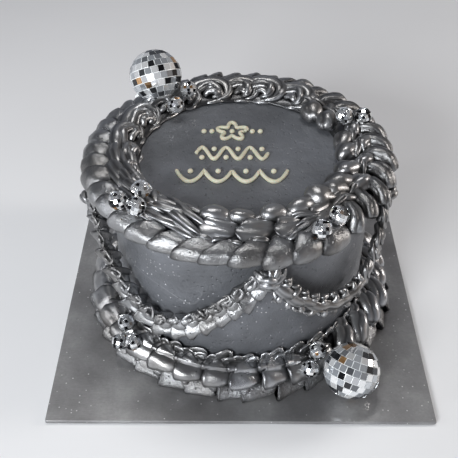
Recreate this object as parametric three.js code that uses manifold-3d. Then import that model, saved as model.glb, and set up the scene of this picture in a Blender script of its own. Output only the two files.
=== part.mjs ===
// A round iced cake on a square foil board, with piped borders, swags, mirror balls and beads.
// Millimetres, +Z up, origin at the middle of the board's underside, front towards -Y.

import * as THREE from 'three';
import { mergeVertices } from 'three/addons/utils/BufferGeometryUtils.js';
import Module from 'manifold-3d';

const wasm = await Module();
wasm.setup();

// Driving dimensions
const BOARD_SIDE = 254;
const BOARD_THICKNESS = 3;
const BOARD_CORNER = 1.5;
const CAKE_MIDDLE_Y = -3;
const CAKE_RADIUS = 88;
const CAKE_TOP = 124;
const CAKE_EDGE_RADIUS = 3;
const CAKE_SIDES = 60;
const GAP = 0.35;

const SCALE_COUNT = 42;
const SCALE_START = -117;
const SCALE_CROWDING = 12.6;
const SCALE_COLUMNS = 3;
const SCALE_STEP = 0.16;
const SCALE_FRONT_SHRINK = 0.32;
const SCALE_MIDDLE_RADIUS = 93;
const SCALE_MIDDLE_HEIGHT = 121.5;
const COVE_RADIUS = 86.5;
const FRONT_ANGLE = -95;

const RUFFLE_COUNT = 24;
const RUFFLE_START = -90;
const RUFFLE_MIDDLE_RADIUS = 77;
const RUFFLE_MIDDLE_HEIGHT = 128.6;
const RUFFLE_HALF_LENGTH = 14;
const RUFFLE_HALF_WIDTH = 10.4;
const RUFFLE_HALF_HEIGHT = 8.8;
const RUFFLE_YAW = -66;
const RUFFLE_RIDGES = 4;

const FOOT_COUNT = 34;
const FOOT_COLUMNS = 3;
const FOOT_PHASE = 0.03;
const FOOT_TOP = 12.4;
const SADDLE_TOP = 26;

const SWAG_COUNT = 5;
const SWAG_HIGH = 105;
const SWAG_LOW = [61, 55, 53, 55, 48.8];
const SWAG_CURVE = [2, 1.8, 1.8, 1.8, 1.6];
const SWAG_RADIUS = 94;
const SWAG_LOBES = 12;
const SWAG_END = 0.03;
const SWAG_HALF_WIDTH = 8.4;
const SWAG_HALF_DEPTH = 6.2;
const TIE_ANGLES = [-81, -7, 59, 125, 191];
const TIE_RADIUS = [94.5, 96, 96, 96, 99];
const TIE_SIZE = { halfLength: 8, halfWidth: 10.5, halfHeight: 11 };

const BALL_RADIUS = 18.8;
const BALL_TILES_AROUND = 24;
const BALL_TILE_ROWS = 12;
const TOP_BALL = { radius: 93, angle: 131, height: 144.5, lean: 17 };
const BOARD_BALL = { radius: 121.4, angle: -53, height: BOARD_THICKNESS + BALL_RADIUS, lean: -24 };
const PICK_RADIUS = 1.5;
const PICK_LENGTH = 7;

const BEAD_RADIUS = 6;
const TOP_BEADS = [
  { radius: 81.5, angle: -138.4, height: 138.5 },
  { radius: 95.3, angle: -141, height: 135 },
  { radius: 91.6, angle: -133, height: 136.4 },
  { radius: 73.6, angle: 120.4, height: 137.5 },
  { radius: 66.5, angle: 133.6, height: 134 },
  { radius: 76, angle: 22, height: 138 },
  { radius: 89, angle: 20.4, height: 136 },
  { radius: 92.4, angle: -52.2, height: 134.6 },
  { radius: 95.8, angle: -61.4, height: 133.4 },
];
const SIDE_BEADS = [
  { radius: 99.6, angle: -141.5, height: 29 },
  { radius: 108.6, angle: -139.2, height: 19 },
  { radius: 104.9, angle: -133.6, height: 25.2 },
  { radius: 100.5, angle: -59.4, height: 29.5 },
  { radius: 106.4, angle: -64.6, height: 22.5 },
];

const LINE_RADIUS = 1.35;
const LINE_SIDES = 5;
const DOT_RADIUS = 1.8;
const ORNAMENT_X = -6;
const BLOSSOM = { y: 26, radius: 8.2, petals: 5, petalDepth: 2.6 };
const WAVE = { y: 0, width: 48, height: 6.4, periods: 3 };
const GARLAND = { y: -23, width: 72, drop: 12, arcs: 4 };

const DEGREE = Math.PI / 180;

// Materials
function finish(color, roughness, metalness) {
  return new THREE.MeshStandardMaterial({ color, roughness, metalness });
}

const FOIL = finish(0x85878a, 0.35, 0.9);
const GREY_ICING = finish(0x5b5f66, 0.55, 0.1);
const SILVER_ICING = finish(0x8d9094, 0.3, 0.8);
const MIRROR = finish(0xd8dce0, 0.08, 1);
const CHROME = finish(0xc6cacf, 0.12, 1);

// Solids and meshes
function solidOf(geometry) {
  geometry.deleteAttribute('normal');
  geometry.deleteAttribute('uv');
  const welded = mergeVertices(geometry, 1e-4);
  const mesh = new wasm.Mesh({
    numProp: 3,
    vertProperties: new Float32Array(welded.attributes.position.array),
    triVerts: new Uint32Array(welded.index.array),
  });
  return new wasm.Manifold(mesh);
}

function geometryOf(solid) {
  const mesh = solid.getMesh();
  const geometry = new THREE.BufferGeometry();
  geometry.setAttribute('position', new THREE.BufferAttribute(new Float32Array(mesh.vertProperties), 3));
  geometry.setIndex(new THREE.BufferAttribute(new Uint32Array(mesh.triVerts), 1));
  geometry.computeVertexNormals();
  return geometry;
}

function joined(solids) {
  return solids.reduce((whole, solid) => whole.add(solid));
}

function cut(solid, cutters) {
  return cutters.reduce((rest, cutter) => rest.subtract(cutter), solid);
}

const cake = new THREE.Group();
cake.name = 'cake';

function addPiece(name, geometry, material) {
  const mesh = new THREE.Mesh(geometry, material);
  mesh.name = name;
  cake.add(mesh);
  return mesh;
}

// Places round the cake's axis
function placeAt({ radius, angle, height }) {
  const turn = angle * DEGREE;
  return new THREE.Vector3(
    radius * Math.cos(turn),
    CAKE_MIDDLE_Y + radius * Math.sin(turn),
    height,
  );
}

// An even spread of small differences between repeated pieces, from -1 to 1.
function unevenness(index, kind) {
  const value = Math.sin(index * 12.9898 + kind * 78.233) * 43758.5453;
  return 2 * (value - Math.floor(value)) - 1;
}

function frontness(angle, sharpness) {
  return Math.max(0, Math.cos((angle - FRONT_ANGLE) * DEGREE)) ** sharpness;
}

// One piped lobe: a ball drawn out along X, wider at its head, ridged along its length, sagging at
// both ends, turned by yaw, tilt and roll and set down at a place round the cake.
function lobe({ place, halfLength, halfWidth, halfHeight, taper = 0, ridges = 0, groove = 0, sag = 0,
  yaw = 0, tilt = 0, roll = 0, around = 8, along = 5, grow = 0 }) {
  const ball = new THREE.SphereGeometry(1, around, along);
  ball.rotateZ(-Math.PI / 2);
  const points = ball.attributes.position;
  for (let i = 0; i < points.count; i += 1) {
    const x = points.getX(i);
    const y = points.getY(i);
    const z = points.getZ(i);
    const wave = 0.5 - 0.5 * Math.cos(ridges * Math.atan2(z, y));
    const swell = (1 + taper * x) * (1 - groove * wave);
    const bend = x * x;
    points.setXYZ(
      i,
      x * (halfLength + grow),
      y * (halfWidth * swell + grow),
      z * (halfHeight * swell + grow) - sag * bend,
    );
  }
  const turn = new THREE.Euler(roll * DEGREE, tilt * DEGREE, (place.angle + yaw) * DEGREE, 'ZYX');
  const matrix = new THREE.Matrix4().makeRotationFromEuler(turn);
  matrix.setPosition(placeAt(place));
  ball.applyMatrix4(matrix);
  return solidOf(ball);
}

// A ring round the cake from a profile of [radius, height] points, its points moved by relief().
function ring(profile, steps, relief) {
  const outline = profile.map(([radius, height]) => new THREE.Vector2(radius, height));
  outline.push(outline[0].clone());
  const lathe = new THREE.LatheGeometry(outline, steps);
  lathe.rotateX(Math.PI / 2);
  const points = lathe.attributes.position;
  for (let i = 0; i < points.count; i += 1) {
    const x = points.getX(i);
    const y = points.getY(i);
    const moved = relief(Math.atan2(y, x), Math.hypot(x, y), points.getZ(i));
    points.setXYZ(
      i,
      moved.radius * Math.cos(moved.turn),
      CAKE_MIDDLE_Y + moved.radius * Math.sin(moved.turn),
      moved.height,
    );
  }
  return solidOf(lathe);
}

// The room that a ball or bead takes out of the icing it is pressed into: its flats clear the ball.
function socket(place, radius, around, along) {
  const flats = Math.cos(Math.PI / around) * Math.cos(Math.PI / (2 * along));
  const room = new THREE.SphereGeometry((radius + GAP) / flats, around, along);
  room.translate(...placeAt(place).toArray());
  return solidOf(room);
}

// The drum that nothing piped on may enter: the cake's own body with the gap round it.
function bodyRoom() {
  const height = CAKE_TOP - BOARD_THICKNESS + GAP + 1;
  const drum = new THREE.CylinderGeometry(CAKE_RADIUS + GAP, CAKE_RADIUS + GAP, height, CAKE_SIDES);
  drum.rotateX(Math.PI / 2);
  drum.translate(0, CAKE_MIDDLE_Y, CAKE_TOP + GAP - height / 2);
  return solidOf(drum);
}

// Board
function boardGeometry() {
  const half = BOARD_SIDE / 2;
  const inner = half - BOARD_CORNER;
  const outline = new THREE.Shape();
  outline.moveTo(-inner, -half);
  outline.lineTo(inner, -half);
  outline.absarc(inner, -inner, BOARD_CORNER, -Math.PI / 2, 0);
  outline.absarc(inner, inner, BOARD_CORNER, 0, Math.PI / 2);
  outline.absarc(-inner, inner, BOARD_CORNER, Math.PI / 2, Math.PI);
  outline.absarc(-inner, -inner, BOARD_CORNER, Math.PI, 1.5 * Math.PI);
  return new THREE.ExtrudeGeometry(outline, {
    depth: BOARD_THICKNESS,
    bevelEnabled: false,
    curveSegments: 3,
  });
}

// Body with the piped ornament on its top
function drumSolid() {
  const profile = [new THREE.Vector2(0, BOARD_THICKNESS), new THREE.Vector2(CAKE_RADIUS, BOARD_THICKNESS)];
  for (const turn of [0, 45, 90]) {
    profile.push(new THREE.Vector2(
      CAKE_RADIUS - CAKE_EDGE_RADIUS * (1 - Math.cos(turn * DEGREE)),
      CAKE_TOP - CAKE_EDGE_RADIUS * (1 - Math.sin(turn * DEGREE)),
    ));
  }
  profile.push(new THREE.Vector2(0, CAKE_TOP));
  const drum = new THREE.LatheGeometry(profile, CAKE_SIDES);
  drum.rotateX(Math.PI / 2);
  drum.translate(0, CAKE_MIDDLE_Y, 0);
  return solidOf(drum);
}

function pipedLine(points, steps) {
  const section = new THREE.Shape();
  for (let i = 0; i < LINE_SIDES; i += 1) {
    const turn = (2 * Math.PI * i) / LINE_SIDES;
    section[i === 0 ? 'moveTo' : 'lineTo'](LINE_RADIUS * Math.cos(turn), LINE_RADIUS * Math.sin(turn));
  }
  section.closePath();
  const line = new THREE.ExtrudeGeometry(section, {
    extrudePath: new THREE.CatmullRomCurve3(points),
    steps,
    bevelEnabled: false,
  });
  return solidOf(line);
}

function pipedDot(x, y) {
  const dot = new THREE.SphereGeometry(DOT_RADIUS, 6, 3);
  dot.rotateX(Math.PI / 2);
  dot.translate(x, y, CAKE_TOP + 0.5 * LINE_RADIUS);
  return solidOf(dot);
}

function onTop(x, y) {
  return new THREE.Vector3(ORNAMENT_X + x, y, CAKE_TOP + 0.5 * LINE_RADIUS);
}

function blossomLine() {
  const loop = new THREE.TorusGeometry(BLOSSOM.radius, LINE_RADIUS, LINE_SIDES, 5 * BLOSSOM.petals);
  const points = loop.attributes.position;
  for (let i = 0; i < points.count; i += 1) {
    const turn = Math.atan2(points.getY(i), points.getX(i));
    const reach = Math.hypot(points.getX(i), points.getY(i));
    const moved = reach + BLOSSOM.petalDepth * Math.cos(BLOSSOM.petals * (turn - Math.PI / 2));
    points.setX(i, moved * Math.cos(turn));
    points.setY(i, moved * Math.sin(turn));
  }
  loop.translate(ORNAMENT_X, BLOSSOM.y, CAKE_TOP + 0.5 * LINE_RADIUS);
  return solidOf(loop);
}

function waveLine() {
  const count = 4 * WAVE.periods;
  const points = [];
  for (let i = 0; i <= count; i += 1) {
    const share = i / count;
    const y = WAVE.y + WAVE.height * Math.sin(2 * Math.PI * WAVE.periods * share);
    points.push(onTop(WAVE.width * (share - 0.5), y));
  }
  return pipedLine(points, 2 * count);
}

function garlandLine() {
  const count = 6 * GARLAND.arcs;
  const points = [];
  for (let i = 0; i <= count; i += 1) {
    const share = i / count;
    const hang = Math.abs(Math.sin(Math.PI * GARLAND.arcs * share));
    points.push(onTop(GARLAND.width * (share - 0.5), GARLAND.y - GARLAND.drop * hang ** 0.8 + 4));
  }
  return pipedLine(points, count);
}

function ornamentDots() {
  const dots = [pipedDot(ORNAMENT_X, BLOSSOM.y)];
  for (const side of [-1, 1]) {
    dots.push(pipedDot(ORNAMENT_X + side * 14, BLOSSOM.y));
    dots.push(pipedDot(ORNAMENT_X + side * 19.5, BLOSSOM.y));
  }
  for (let i = 0; i < 2 * WAVE.periods; i += 1) {
    const share = (i + 0.5) / (2 * WAVE.periods);
    const side = i % 2 === 0 ? -1 : 1;
    dots.push(pipedDot(ORNAMENT_X + WAVE.width * (share - 0.5), WAVE.y + side * 0.75 * WAVE.height));
  }
  for (let i = 0; i < GARLAND.arcs; i += 1) {
    const share = (i + 0.5) / GARLAND.arcs;
    dots.push(pipedDot(ORNAMENT_X + GARLAND.width * (share - 0.5), GARLAND.y + 3));
  }
  return dots;
}

function bodySolid() {
  return joined([drumSolid(), blossomLine(), waveLine(), garlandLine(), ...ornamentDots()]);
}

// Outer top border: a ring of overlapping scales, smaller at the front. Each scale's surface steps up
// at its own edge and falls away towards the next.
function scaleAngle(index) {
  const share = index / SCALE_COUNT;
  return SCALE_START + 360 * share + SCALE_CROWDING * Math.sin(2 * Math.PI * share);
}

function scaleRelief(turn, radius, height) {
  const index = (SCALE_COUNT * (turn + Math.PI)) / (2 * Math.PI);
  const phase = index - Math.floor(index + 1e-6);
  const angle = scaleAngle(index);
  const free = radius > CAKE_RADIUS + 3 || height > CAKE_TOP + 3 ? 1 : 0;
  const rise = phase < 0.2 ? -1 : 1 - phase;
  const shrink = SCALE_FRONT_SHRINK * frontness(angle, 4);
  const size = 1 + free * (SCALE_STEP * rise - shrink + 0.04 * unevenness(Math.floor(index), 1));
  return {
    turn: angle * DEGREE,
    radius: Math.max(COVE_RADIUS + GAP, SCALE_MIDDLE_RADIUS + (radius - SCALE_MIDDLE_RADIUS) * size),
    height: SCALE_MIDDLE_HEIGHT + (height - SCALE_MIDDLE_HEIGHT) * size,
  };
}

function scalesSolid() {
  const side = CAKE_RADIUS + 2 * GAP;
  return ring([
    [side, CAKE_TOP + GAP],
    [side, SCALE_MIDDLE_HEIGHT - 8],
    [SCALE_MIDDLE_RADIUS + 3, SCALE_MIDDLE_HEIGHT - 9],
    [SCALE_MIDDLE_RADIUS + 9, SCALE_MIDDLE_HEIGHT - 4.5],
    [SCALE_MIDDLE_RADIUS + 9.6, SCALE_MIDDLE_HEIGHT + 1],
    [SCALE_MIDDLE_RADIUS + 4, SCALE_MIDDLE_HEIGHT + 7],
    [COVE_RADIUS + 1, SCALE_MIDDLE_HEIGHT + 8.6],
    [COVE_RADIUS + GAP, CAKE_TOP + GAP],
  ], SCALE_COLUMNS * SCALE_COUNT, scaleRelief);
}

// Inner top border: ridged ruffles, each tail under the next head
function rufflesSolid() {
  const lobes = [];
  for (let i = 0; i < RUFFLE_COUNT; i += 1) {
    lobes.push(lobe({
      place: {
        radius: RUFFLE_MIDDLE_RADIUS + 0.8 * unevenness(i, 6),
        angle: RUFFLE_START + (360 * (i + 0.12 * unevenness(i, 7))) / RUFFLE_COUNT,
        height: RUFFLE_MIDDLE_HEIGHT + 0.6 * unevenness(i, 8),
      },
      halfLength: RUFFLE_HALF_LENGTH,
      halfWidth: RUFFLE_HALF_WIDTH + 0.6 * unevenness(i, 9),
      halfHeight: RUFFLE_HALF_HEIGHT,
      taper: 0.22,
      ridges: RUFFLE_RIDGES,
      groove: 0.12,
      sag: 2,
      yaw: RUFFLE_YAW + 8 * unevenness(i, 10),
      around: 2 * RUFFLE_RIDGES,
      along: 4,
    }));
  }
  return joined(lobes);
}

// The room that the ruffles may fill: above the body's top and inside the cove.
function ruffleRoom() {
  const outline = [
    new THREE.Vector2(0, CAKE_TOP + GAP),
    new THREE.Vector2(COVE_RADIUS, CAKE_TOP + GAP),
    new THREE.Vector2(COVE_RADIUS, CAKE_TOP + 20),
    new THREE.Vector2(0, CAKE_TOP + 20),
  ];
  const room = new THREE.LatheGeometry(outline, SCALE_COUNT);
  room.rotateX(Math.PI / 2);
  room.translate(0, CAKE_MIDDLE_Y, 0);
  return solidOf(room);
}

// Bottom border: squarish feet on the board, and saddles with a lip above them
function footRelief(turn, radius, height) {
  const wave = (turn * FOOT_COUNT) / (2 * Math.PI);
  const index = Math.floor(wave + 0.1);
  const side = 1 - frontness(turn / DEGREE, 1);
  const outer = radius > CAKE_RADIUS + 12;
  const between = Math.abs(wave - index) < 0.1;
  const swell = 2.2 * side + 0.8 * unevenness(index, 11) - (between ? 3 : 0);
  return { turn: turn + FOOT_PHASE, radius: radius + (outer ? swell : 0), height };
}

function feetSolid() {
  const inner = CAKE_RADIUS + 3;
  return ring([
    [inner, BOARD_THICKNESS],
    [inner + 18.5, BOARD_THICKNESS],
    [inner + 17.5, BOARD_THICKNESS + 4],
    [inner + 13, FOOT_TOP],
    [inner, FOOT_TOP],
  ], FOOT_COLUMNS * FOOT_COUNT, footRelief);
}

function saddleRelief(turn, radius, height) {
  const wave = (turn * FOOT_COUNT) / (2 * Math.PI);
  const index = Math.floor(wave + 0.25);
  const middle = Math.abs(wave - index) < 0.25;
  const front = frontness(turn / DEGREE, 1);
  const outward = Math.max(0, radius - CAKE_RADIUS - 4) / 12;
  const push = front * (middle ? -0.8 : 0.8) + (1 - front) * (middle ? 3.6 : 0.6);
  const lift = height > SADDLE_TOP - 3 ? 1.2 * unevenness(index, 12) + (middle ? 1.4 : 0) : 0;
  return { turn: turn + FOOT_PHASE, radius: radius + push * outward, height: height + lift };
}

function saddlesSolid() {
  const inner = CAKE_RADIUS + 2 * GAP;
  return ring([
    [inner, FOOT_TOP + GAP],
    [inner + 13, FOOT_TOP + GAP],
    [inner + 15.6, FOOT_TOP + 6],
    [inner + 12.2, FOOT_TOP + 10],
    [inner + 9.6, SADDLE_TOP],
    [inner + 5, SADDLE_TOP - 3],
    [inner + 1, SADDLE_TOP],
  ], 2 * FOOT_COUNT, saddleRelief);
}

// The room that the scales take above the swags' ends.
function scaleRoom() {
  const height = 30;
  const room = new THREE.CylinderGeometry(SCALE_MIDDLE_RADIUS + 25, SCALE_MIDDLE_RADIUS + 25, height, 24);
  room.rotateX(Math.PI / 2);
  room.translate(0, CAKE_MIDDLE_Y, SCALE_MIDDLE_HEIGHT - 11.2 + height / 2);
  return solidOf(room);
}

// Swags hung between ties round the side, from one tie's angle to the next
function swagAngle(index, share) {
  const start = TIE_ANGLES[index];
  const end = index + 1 < SWAG_COUNT ? TIE_ANGLES[index + 1] : TIE_ANGLES[0] + 360;
  return start + (end - start) * share;
}

function swagPlace(index, share) {
  const away = Math.abs(2 * share - 1);
  const nearest = share < 0.5 ? index : (index + 1) % SWAG_COUNT;
  return {
    radius: SWAG_RADIUS + (TIE_RADIUS[nearest] - SWAG_RADIUS) * away,
    angle: swagAngle(index, share),
    height: SWAG_LOW[index] + (SWAG_HIGH - SWAG_LOW[index]) * away ** SWAG_CURVE[index],
  };
}

// A ball drawn out along the swag's path, waisted between its lobes.
function swagSolid(index) {
  const swag = new THREE.SphereGeometry(1, 6, 2 * SWAG_LOBES);
  swag.rotateZ(-Math.PI / 2);
  const points = swag.attributes.position;
  for (let i = 0; i < points.count; i += 1) {
    const row = Math.round((2 * SWAG_LOBES * Math.acos(Math.max(-1, Math.min(1, -points.getX(i))))) / Math.PI);
    const share = SWAG_END + ((1 - 2 * SWAG_END) * row) / (2 * SWAG_LOBES);
    const middle = placeAt(swagPlace(index, share));
    const along = placeAt(swagPlace(index, share + 0.01)).sub(placeAt(swagPlace(index, share - 0.01)));
    const outward = placeAt({ radius: 1, angle: swagAngle(index, share), height: 0 });
    outward.y -= CAKE_MIDDLE_Y;
    const across = new THREE.Vector3().crossVectors(along.normalize(), outward).normalize();
    const turn = Math.atan2(points.getZ(i), points.getY(i));
    const end = row === 0 || row === 2 * SWAG_LOBES ? 0 : 1;
    const swell = end * (row % 2 === 1 ? 1 : 0.74) * (1 + 0.08 * unevenness(20 * index + row, 13));
    middle.addScaledVector(outward, swell * SWAG_HALF_DEPTH * Math.cos(turn));
    middle.addScaledVector(across, swell * SWAG_HALF_WIDTH * Math.sin(turn));
    points.setXYZ(i, middle.x, middle.y, middle.z);
  }
  return solidOf(swag);
}

function tieSolid(index, grow = 0) {
  return lobe({
    place: { radius: TIE_RADIUS[index], angle: TIE_ANGLES[index], height: SWAG_HIGH },
    ...TIE_SIZE,
    ridges: 6,
    groove: 0.2,
    roll: 15 * index,
    around: 12,
    grow,
  });
}

// Mirror balls and beads
function tiledBall(place) {
  const ball = new THREE.SphereGeometry(BALL_RADIUS, BALL_TILES_AROUND, BALL_TILE_ROWS);
  ball.rotateX(Math.PI / 2);
  ball.rotateX(-12 * DEGREE);
  ball.rotateY(-place.lean * DEGREE);
  ball.translate(...placeAt(place).toArray());
  return solidOf(ball);
}

// The stub of the pick that holds the upper ball, at the ball's lower left.
function pickSolid() {
  const pick = new THREE.CylinderGeometry(PICK_RADIUS, PICK_RADIUS, PICK_LENGTH, 8);
  pick.rotateZ(-40 * DEGREE);
  const middle = placeAt(TOP_BALL);
  const reach = BALL_RADIUS + PICK_LENGTH / 2 - 2;
  pick.translate(
    middle.x - reach * Math.sin(40 * DEGREE),
    middle.y,
    middle.z - reach * Math.cos(40 * DEGREE),
  );
  return solidOf(pick);
}

function beadGeometry(place, index) {
  const bead = new THREE.SphereGeometry(BEAD_RADIUS, 8, 5);
  bead.rotateX(30 * index * DEGREE);
  bead.rotateY(50 * index * DEGREE);
  bead.translate(...placeAt(place).toArray());
  return bead;
}

// Assembly
const bodySpace = bodyRoom();
const topSockets = [
  socket(TOP_BALL, BALL_RADIUS, 12, 8),
  ...TOP_BEADS.map((place) => socket(place, BEAD_RADIUS, 8, 6)),
];
const sideSockets = [
  socket(BOARD_BALL, BALL_RADIUS, 12, 8),
  ...SIDE_BEADS.map((place) => socket(place, BEAD_RADIUS, 8, 6)),
];

addPiece('cake_board', boardGeometry(), FOIL);
addPiece('cake_body', geometryOf(bodySolid()), GREY_ICING);
const ruffles = cut(rufflesSolid().intersect(ruffleRoom()), topSockets);
addPiece('top_border_inner', geometryOf(ruffles), SILVER_ICING);
addPiece('top_border_outer', geometryOf(cut(scalesSolid(), topSockets)), SILVER_ICING);
addPiece('bottom_border_feet', geometryOf(cut(feetSolid(), sideSockets)), SILVER_ICING);
addPiece('bottom_border_saddles', geometryOf(cut(saddlesSolid(), sideSockets)), SILVER_ICING);

const scaleSpace = scaleRoom();
for (let i = 0; i < SWAG_COUNT; i += 1) {
  const ends = [tieSolid(i, GAP), tieSolid((i + 1) % SWAG_COUNT, GAP)];
  addPiece(`swag_${i + 1}`, geometryOf(cut(swagSolid(i), [bodySpace, scaleSpace, ...ends])), SILVER_ICING);
  addPiece(`swag_tie_${i + 1}`, geometryOf(cut(tieSolid(i), [bodySpace, scaleSpace])), SILVER_ICING);
}

addPiece('mirror_ball_top', geometryOf(joined([tiledBall(TOP_BALL), pickSolid()])), MIRROR);
addPiece('mirror_ball_board', geometryOf(tiledBall(BOARD_BALL)), MIRROR);
[...TOP_BEADS, ...SIDE_BEADS].forEach((place, index) => {
  const number = String(index + 1).padStart(2, '0');
  addPiece(`bead_${number}`, beadGeometry(place, index), CHROME);
});

export default cake;
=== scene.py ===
"""A round cake iced in slate grey with silver piping, mirror balls and beads, on a square foil board.

Shapes are worked out in millimetres round the cake's axis and written to the meshes in metres.
"""
import math

import bpy
import numpy as np
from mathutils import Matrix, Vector


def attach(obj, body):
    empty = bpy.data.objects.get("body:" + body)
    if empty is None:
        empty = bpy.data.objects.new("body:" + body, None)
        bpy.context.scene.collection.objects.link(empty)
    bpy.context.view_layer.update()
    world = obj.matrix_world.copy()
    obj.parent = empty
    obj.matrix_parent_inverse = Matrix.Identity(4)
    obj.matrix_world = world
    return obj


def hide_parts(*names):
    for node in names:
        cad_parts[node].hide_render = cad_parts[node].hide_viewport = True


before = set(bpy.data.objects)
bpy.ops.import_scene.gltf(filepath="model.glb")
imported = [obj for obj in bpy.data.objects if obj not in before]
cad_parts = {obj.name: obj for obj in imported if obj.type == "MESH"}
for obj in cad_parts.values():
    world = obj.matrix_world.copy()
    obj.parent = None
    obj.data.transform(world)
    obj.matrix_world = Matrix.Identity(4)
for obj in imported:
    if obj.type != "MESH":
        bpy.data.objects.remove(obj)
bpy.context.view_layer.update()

MM = 0.001
MIDDLE_Y = -3.0
BOARD_SIDE = 254.0
BOARD_TOP = 3.0
BODY_RADIUS = 88.0
BODY_TOP = 124.0
BODY_EDGE = 3.0
FRONT = -95.0

SCALE_RADIUS = 98.0
SCALE_COUNT = 40
SCALE_START = -56.6
SCALE_CROWDING = 9.7
RUFFLE_COUNT = 24
RUFFLE_START = -90.0
RUFFLE_RADIUS = 77.0
FOOT_RADIUS = 106.0
SADDLE_RADIUS = 103.0
FOOT_COUNT = 34
FOOT_START = 1.7

SWAG_COUNT = 5
SWAG_HIGH = 105.0
SWAG_LOW = (61.0, 55.0, 53.0, 55.0, 48.8)
SWAG_CURVE = (2.0, 1.8, 1.8, 1.8, 1.6)
SWAG_RADIUS = 94.0
TIE_ANGLE = np.array([-81.0, -7.0, 59.0, 125.0, 191.0, 279.0])
TIE_RADIUS = np.array([94.5, 96.0, 96.0, 96.0, 99.0, 94.5])

BALL_RADIUS = 18.8
BALL_ROWS = 12
BALL_PITCH = 34.0
PICK_RADIUS = 1.5
TILE_SHARE = 0.885
TILE_TILT = 0.03
TILE_INNER = (0.955, 0.97)
TOP_BALL = (93.0, 131.0, 144.5)
BOARD_BALL = (121.4, -53.0, 21.8)
BALL_LEAN = {"mirror_ball_top": 17.0, "mirror_ball_board": -24.0}
BEAD_RADIUS = 6.0
BEAD_ROWS = 8
BEADS = [
    (81.5, -138.4, 138.5), (95.3, -141.0, 135.0), (91.6, -133.0, 136.4), (73.6, 120.4, 137.5),
    (66.5, 133.6, 134.0), (76.0, 22.0, 138.0), (89.0, 20.4, 136.0), (92.4, -52.2, 134.6),
    (95.8, -61.4, 133.4), (99.6, -141.5, 29.0), (108.6, -139.2, 19.0), (104.9, -133.6, 25.2),
    (100.5, -59.4, 29.5), (106.4, -64.6, 22.5),
]


# numbers and places
def unevenness(index, kind):
    """A fixed small difference for each numbered piece: the fraction of a large sine, from -1 to 1."""
    value = np.sin(np.asarray(index, float) * 12.9898 + kind * 78.233) * 43758.5453
    return 2 * (value - np.floor(value)) - 1


def between(low, high, share):
    """A straight mix from low to high."""
    return low + (high - low) * share


def smooth_step(low, high, value):
    """0 below low, 1 above high, and an easy S between them."""
    share = np.clip((np.asarray(value, float) - low) / (high - low), 0, 1)
    return share * share * (3 - 2 * share)


def wrapped(angle):
    """Angles in degrees, brought to -180 up to 180."""
    return (angle + 180) % 360 - 180


def sector(angle, start, end, blend=12.0):
    """1 for angles round the cake from start to end, in degrees, fading to 0 over blend on both sides."""
    middle, half = 0.5 * (start + end), 0.5 * (end - start)
    off = np.abs(wrapped(np.asarray(angle, float) - middle))
    return 1 - smooth_step(half - 0.5 * blend, half + 0.5 * blend, off)


def eased(count):
    """Shares from 0 to 1, close together at both ends."""
    return 0.5 - 0.5 * np.cos(np.pi * np.linspace(0, 1, count))


def turns(count):
    """Angles all the way round, in radians, without the one that would repeat the first."""
    return 2 * np.pi * np.arange(count) / count


def around_cake(radius, degrees, height):
    """Points from a distance to the cake's axis, an angle round it and a height."""
    radius, degrees, height = np.broadcast_arrays(radius, degrees, height)
    turn = np.radians(degrees)
    return np.stack([radius * np.cos(turn), MIDDLE_Y + radius * np.sin(turn), height], -1)


def ripple(points, size, kind):
    """A smooth unevenness from -1 to 1: three sines of the place, crossed at odd angles, of about that size."""
    x, y, z = (points[..., k] / size for k in range(3))
    return (
        np.sin(1.7 * x + 2.3 * y + kind)
        + np.sin(2.9 * y - 1.3 * z + 2.1 * kind)
        + np.sin(2.1 * z + 1.9 * x - 0.7 * kind + np.sin(1.1 * y))
    ) / 3


def unit(vectors):
    """The vectors at length one."""
    return vectors / np.maximum(np.linalg.norm(vectors, axis=-1, keepdims=True), 1e-9)


def outward_at(points):
    """Directions straight out from the cake's axis."""
    return unit((points - np.array([0.0, MIDDLE_Y, 0.0])) * np.array([1.0, 1.0, 0.0]))


def pointing(path, axis, way=1.0):
    """The direction along one axis, for each point of a path."""
    outward = np.zeros_like(path)
    outward[..., axis] = way
    return outward


def handmade(points):
    """The points moved by two smooth ripples, a slow one and a fine one, as a hand's unevenness."""
    slow = np.stack([ripple(points, 5.0, kind) for kind in (0.3, 2.7, 5.1)], -1)
    fine = np.stack([ripple(points, 1.7, kind) for kind in (1.9, 3.3, 4.6)], -1)
    return points + 0.5 * slow + 0.17 * fine


# meshes
def closed_faces(rows, columns):
    """Corners of the faces of one closed grid: rings of columns points between two end points."""
    ring = np.arange(columns)
    after = (ring + 1) % columns
    lines = 1 + columns * np.arange(rows - 2)[:, None]
    quads = np.stack(
        [lines[:-1] + ring, lines[:-1] + after, lines[1:] + after, lines[1:] + ring], -1
    ).reshape(-1, 4)
    last = 1 + columns * (rows - 2)
    first_fan = np.stack([np.zeros(columns, int), 1 + after, 1 + ring], -1)
    last_fan = np.stack([np.full(columns, last), lines[-1] + ring, lines[-1] + after], -1)
    return quads, np.concatenate([first_fan, last_fan])


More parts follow.
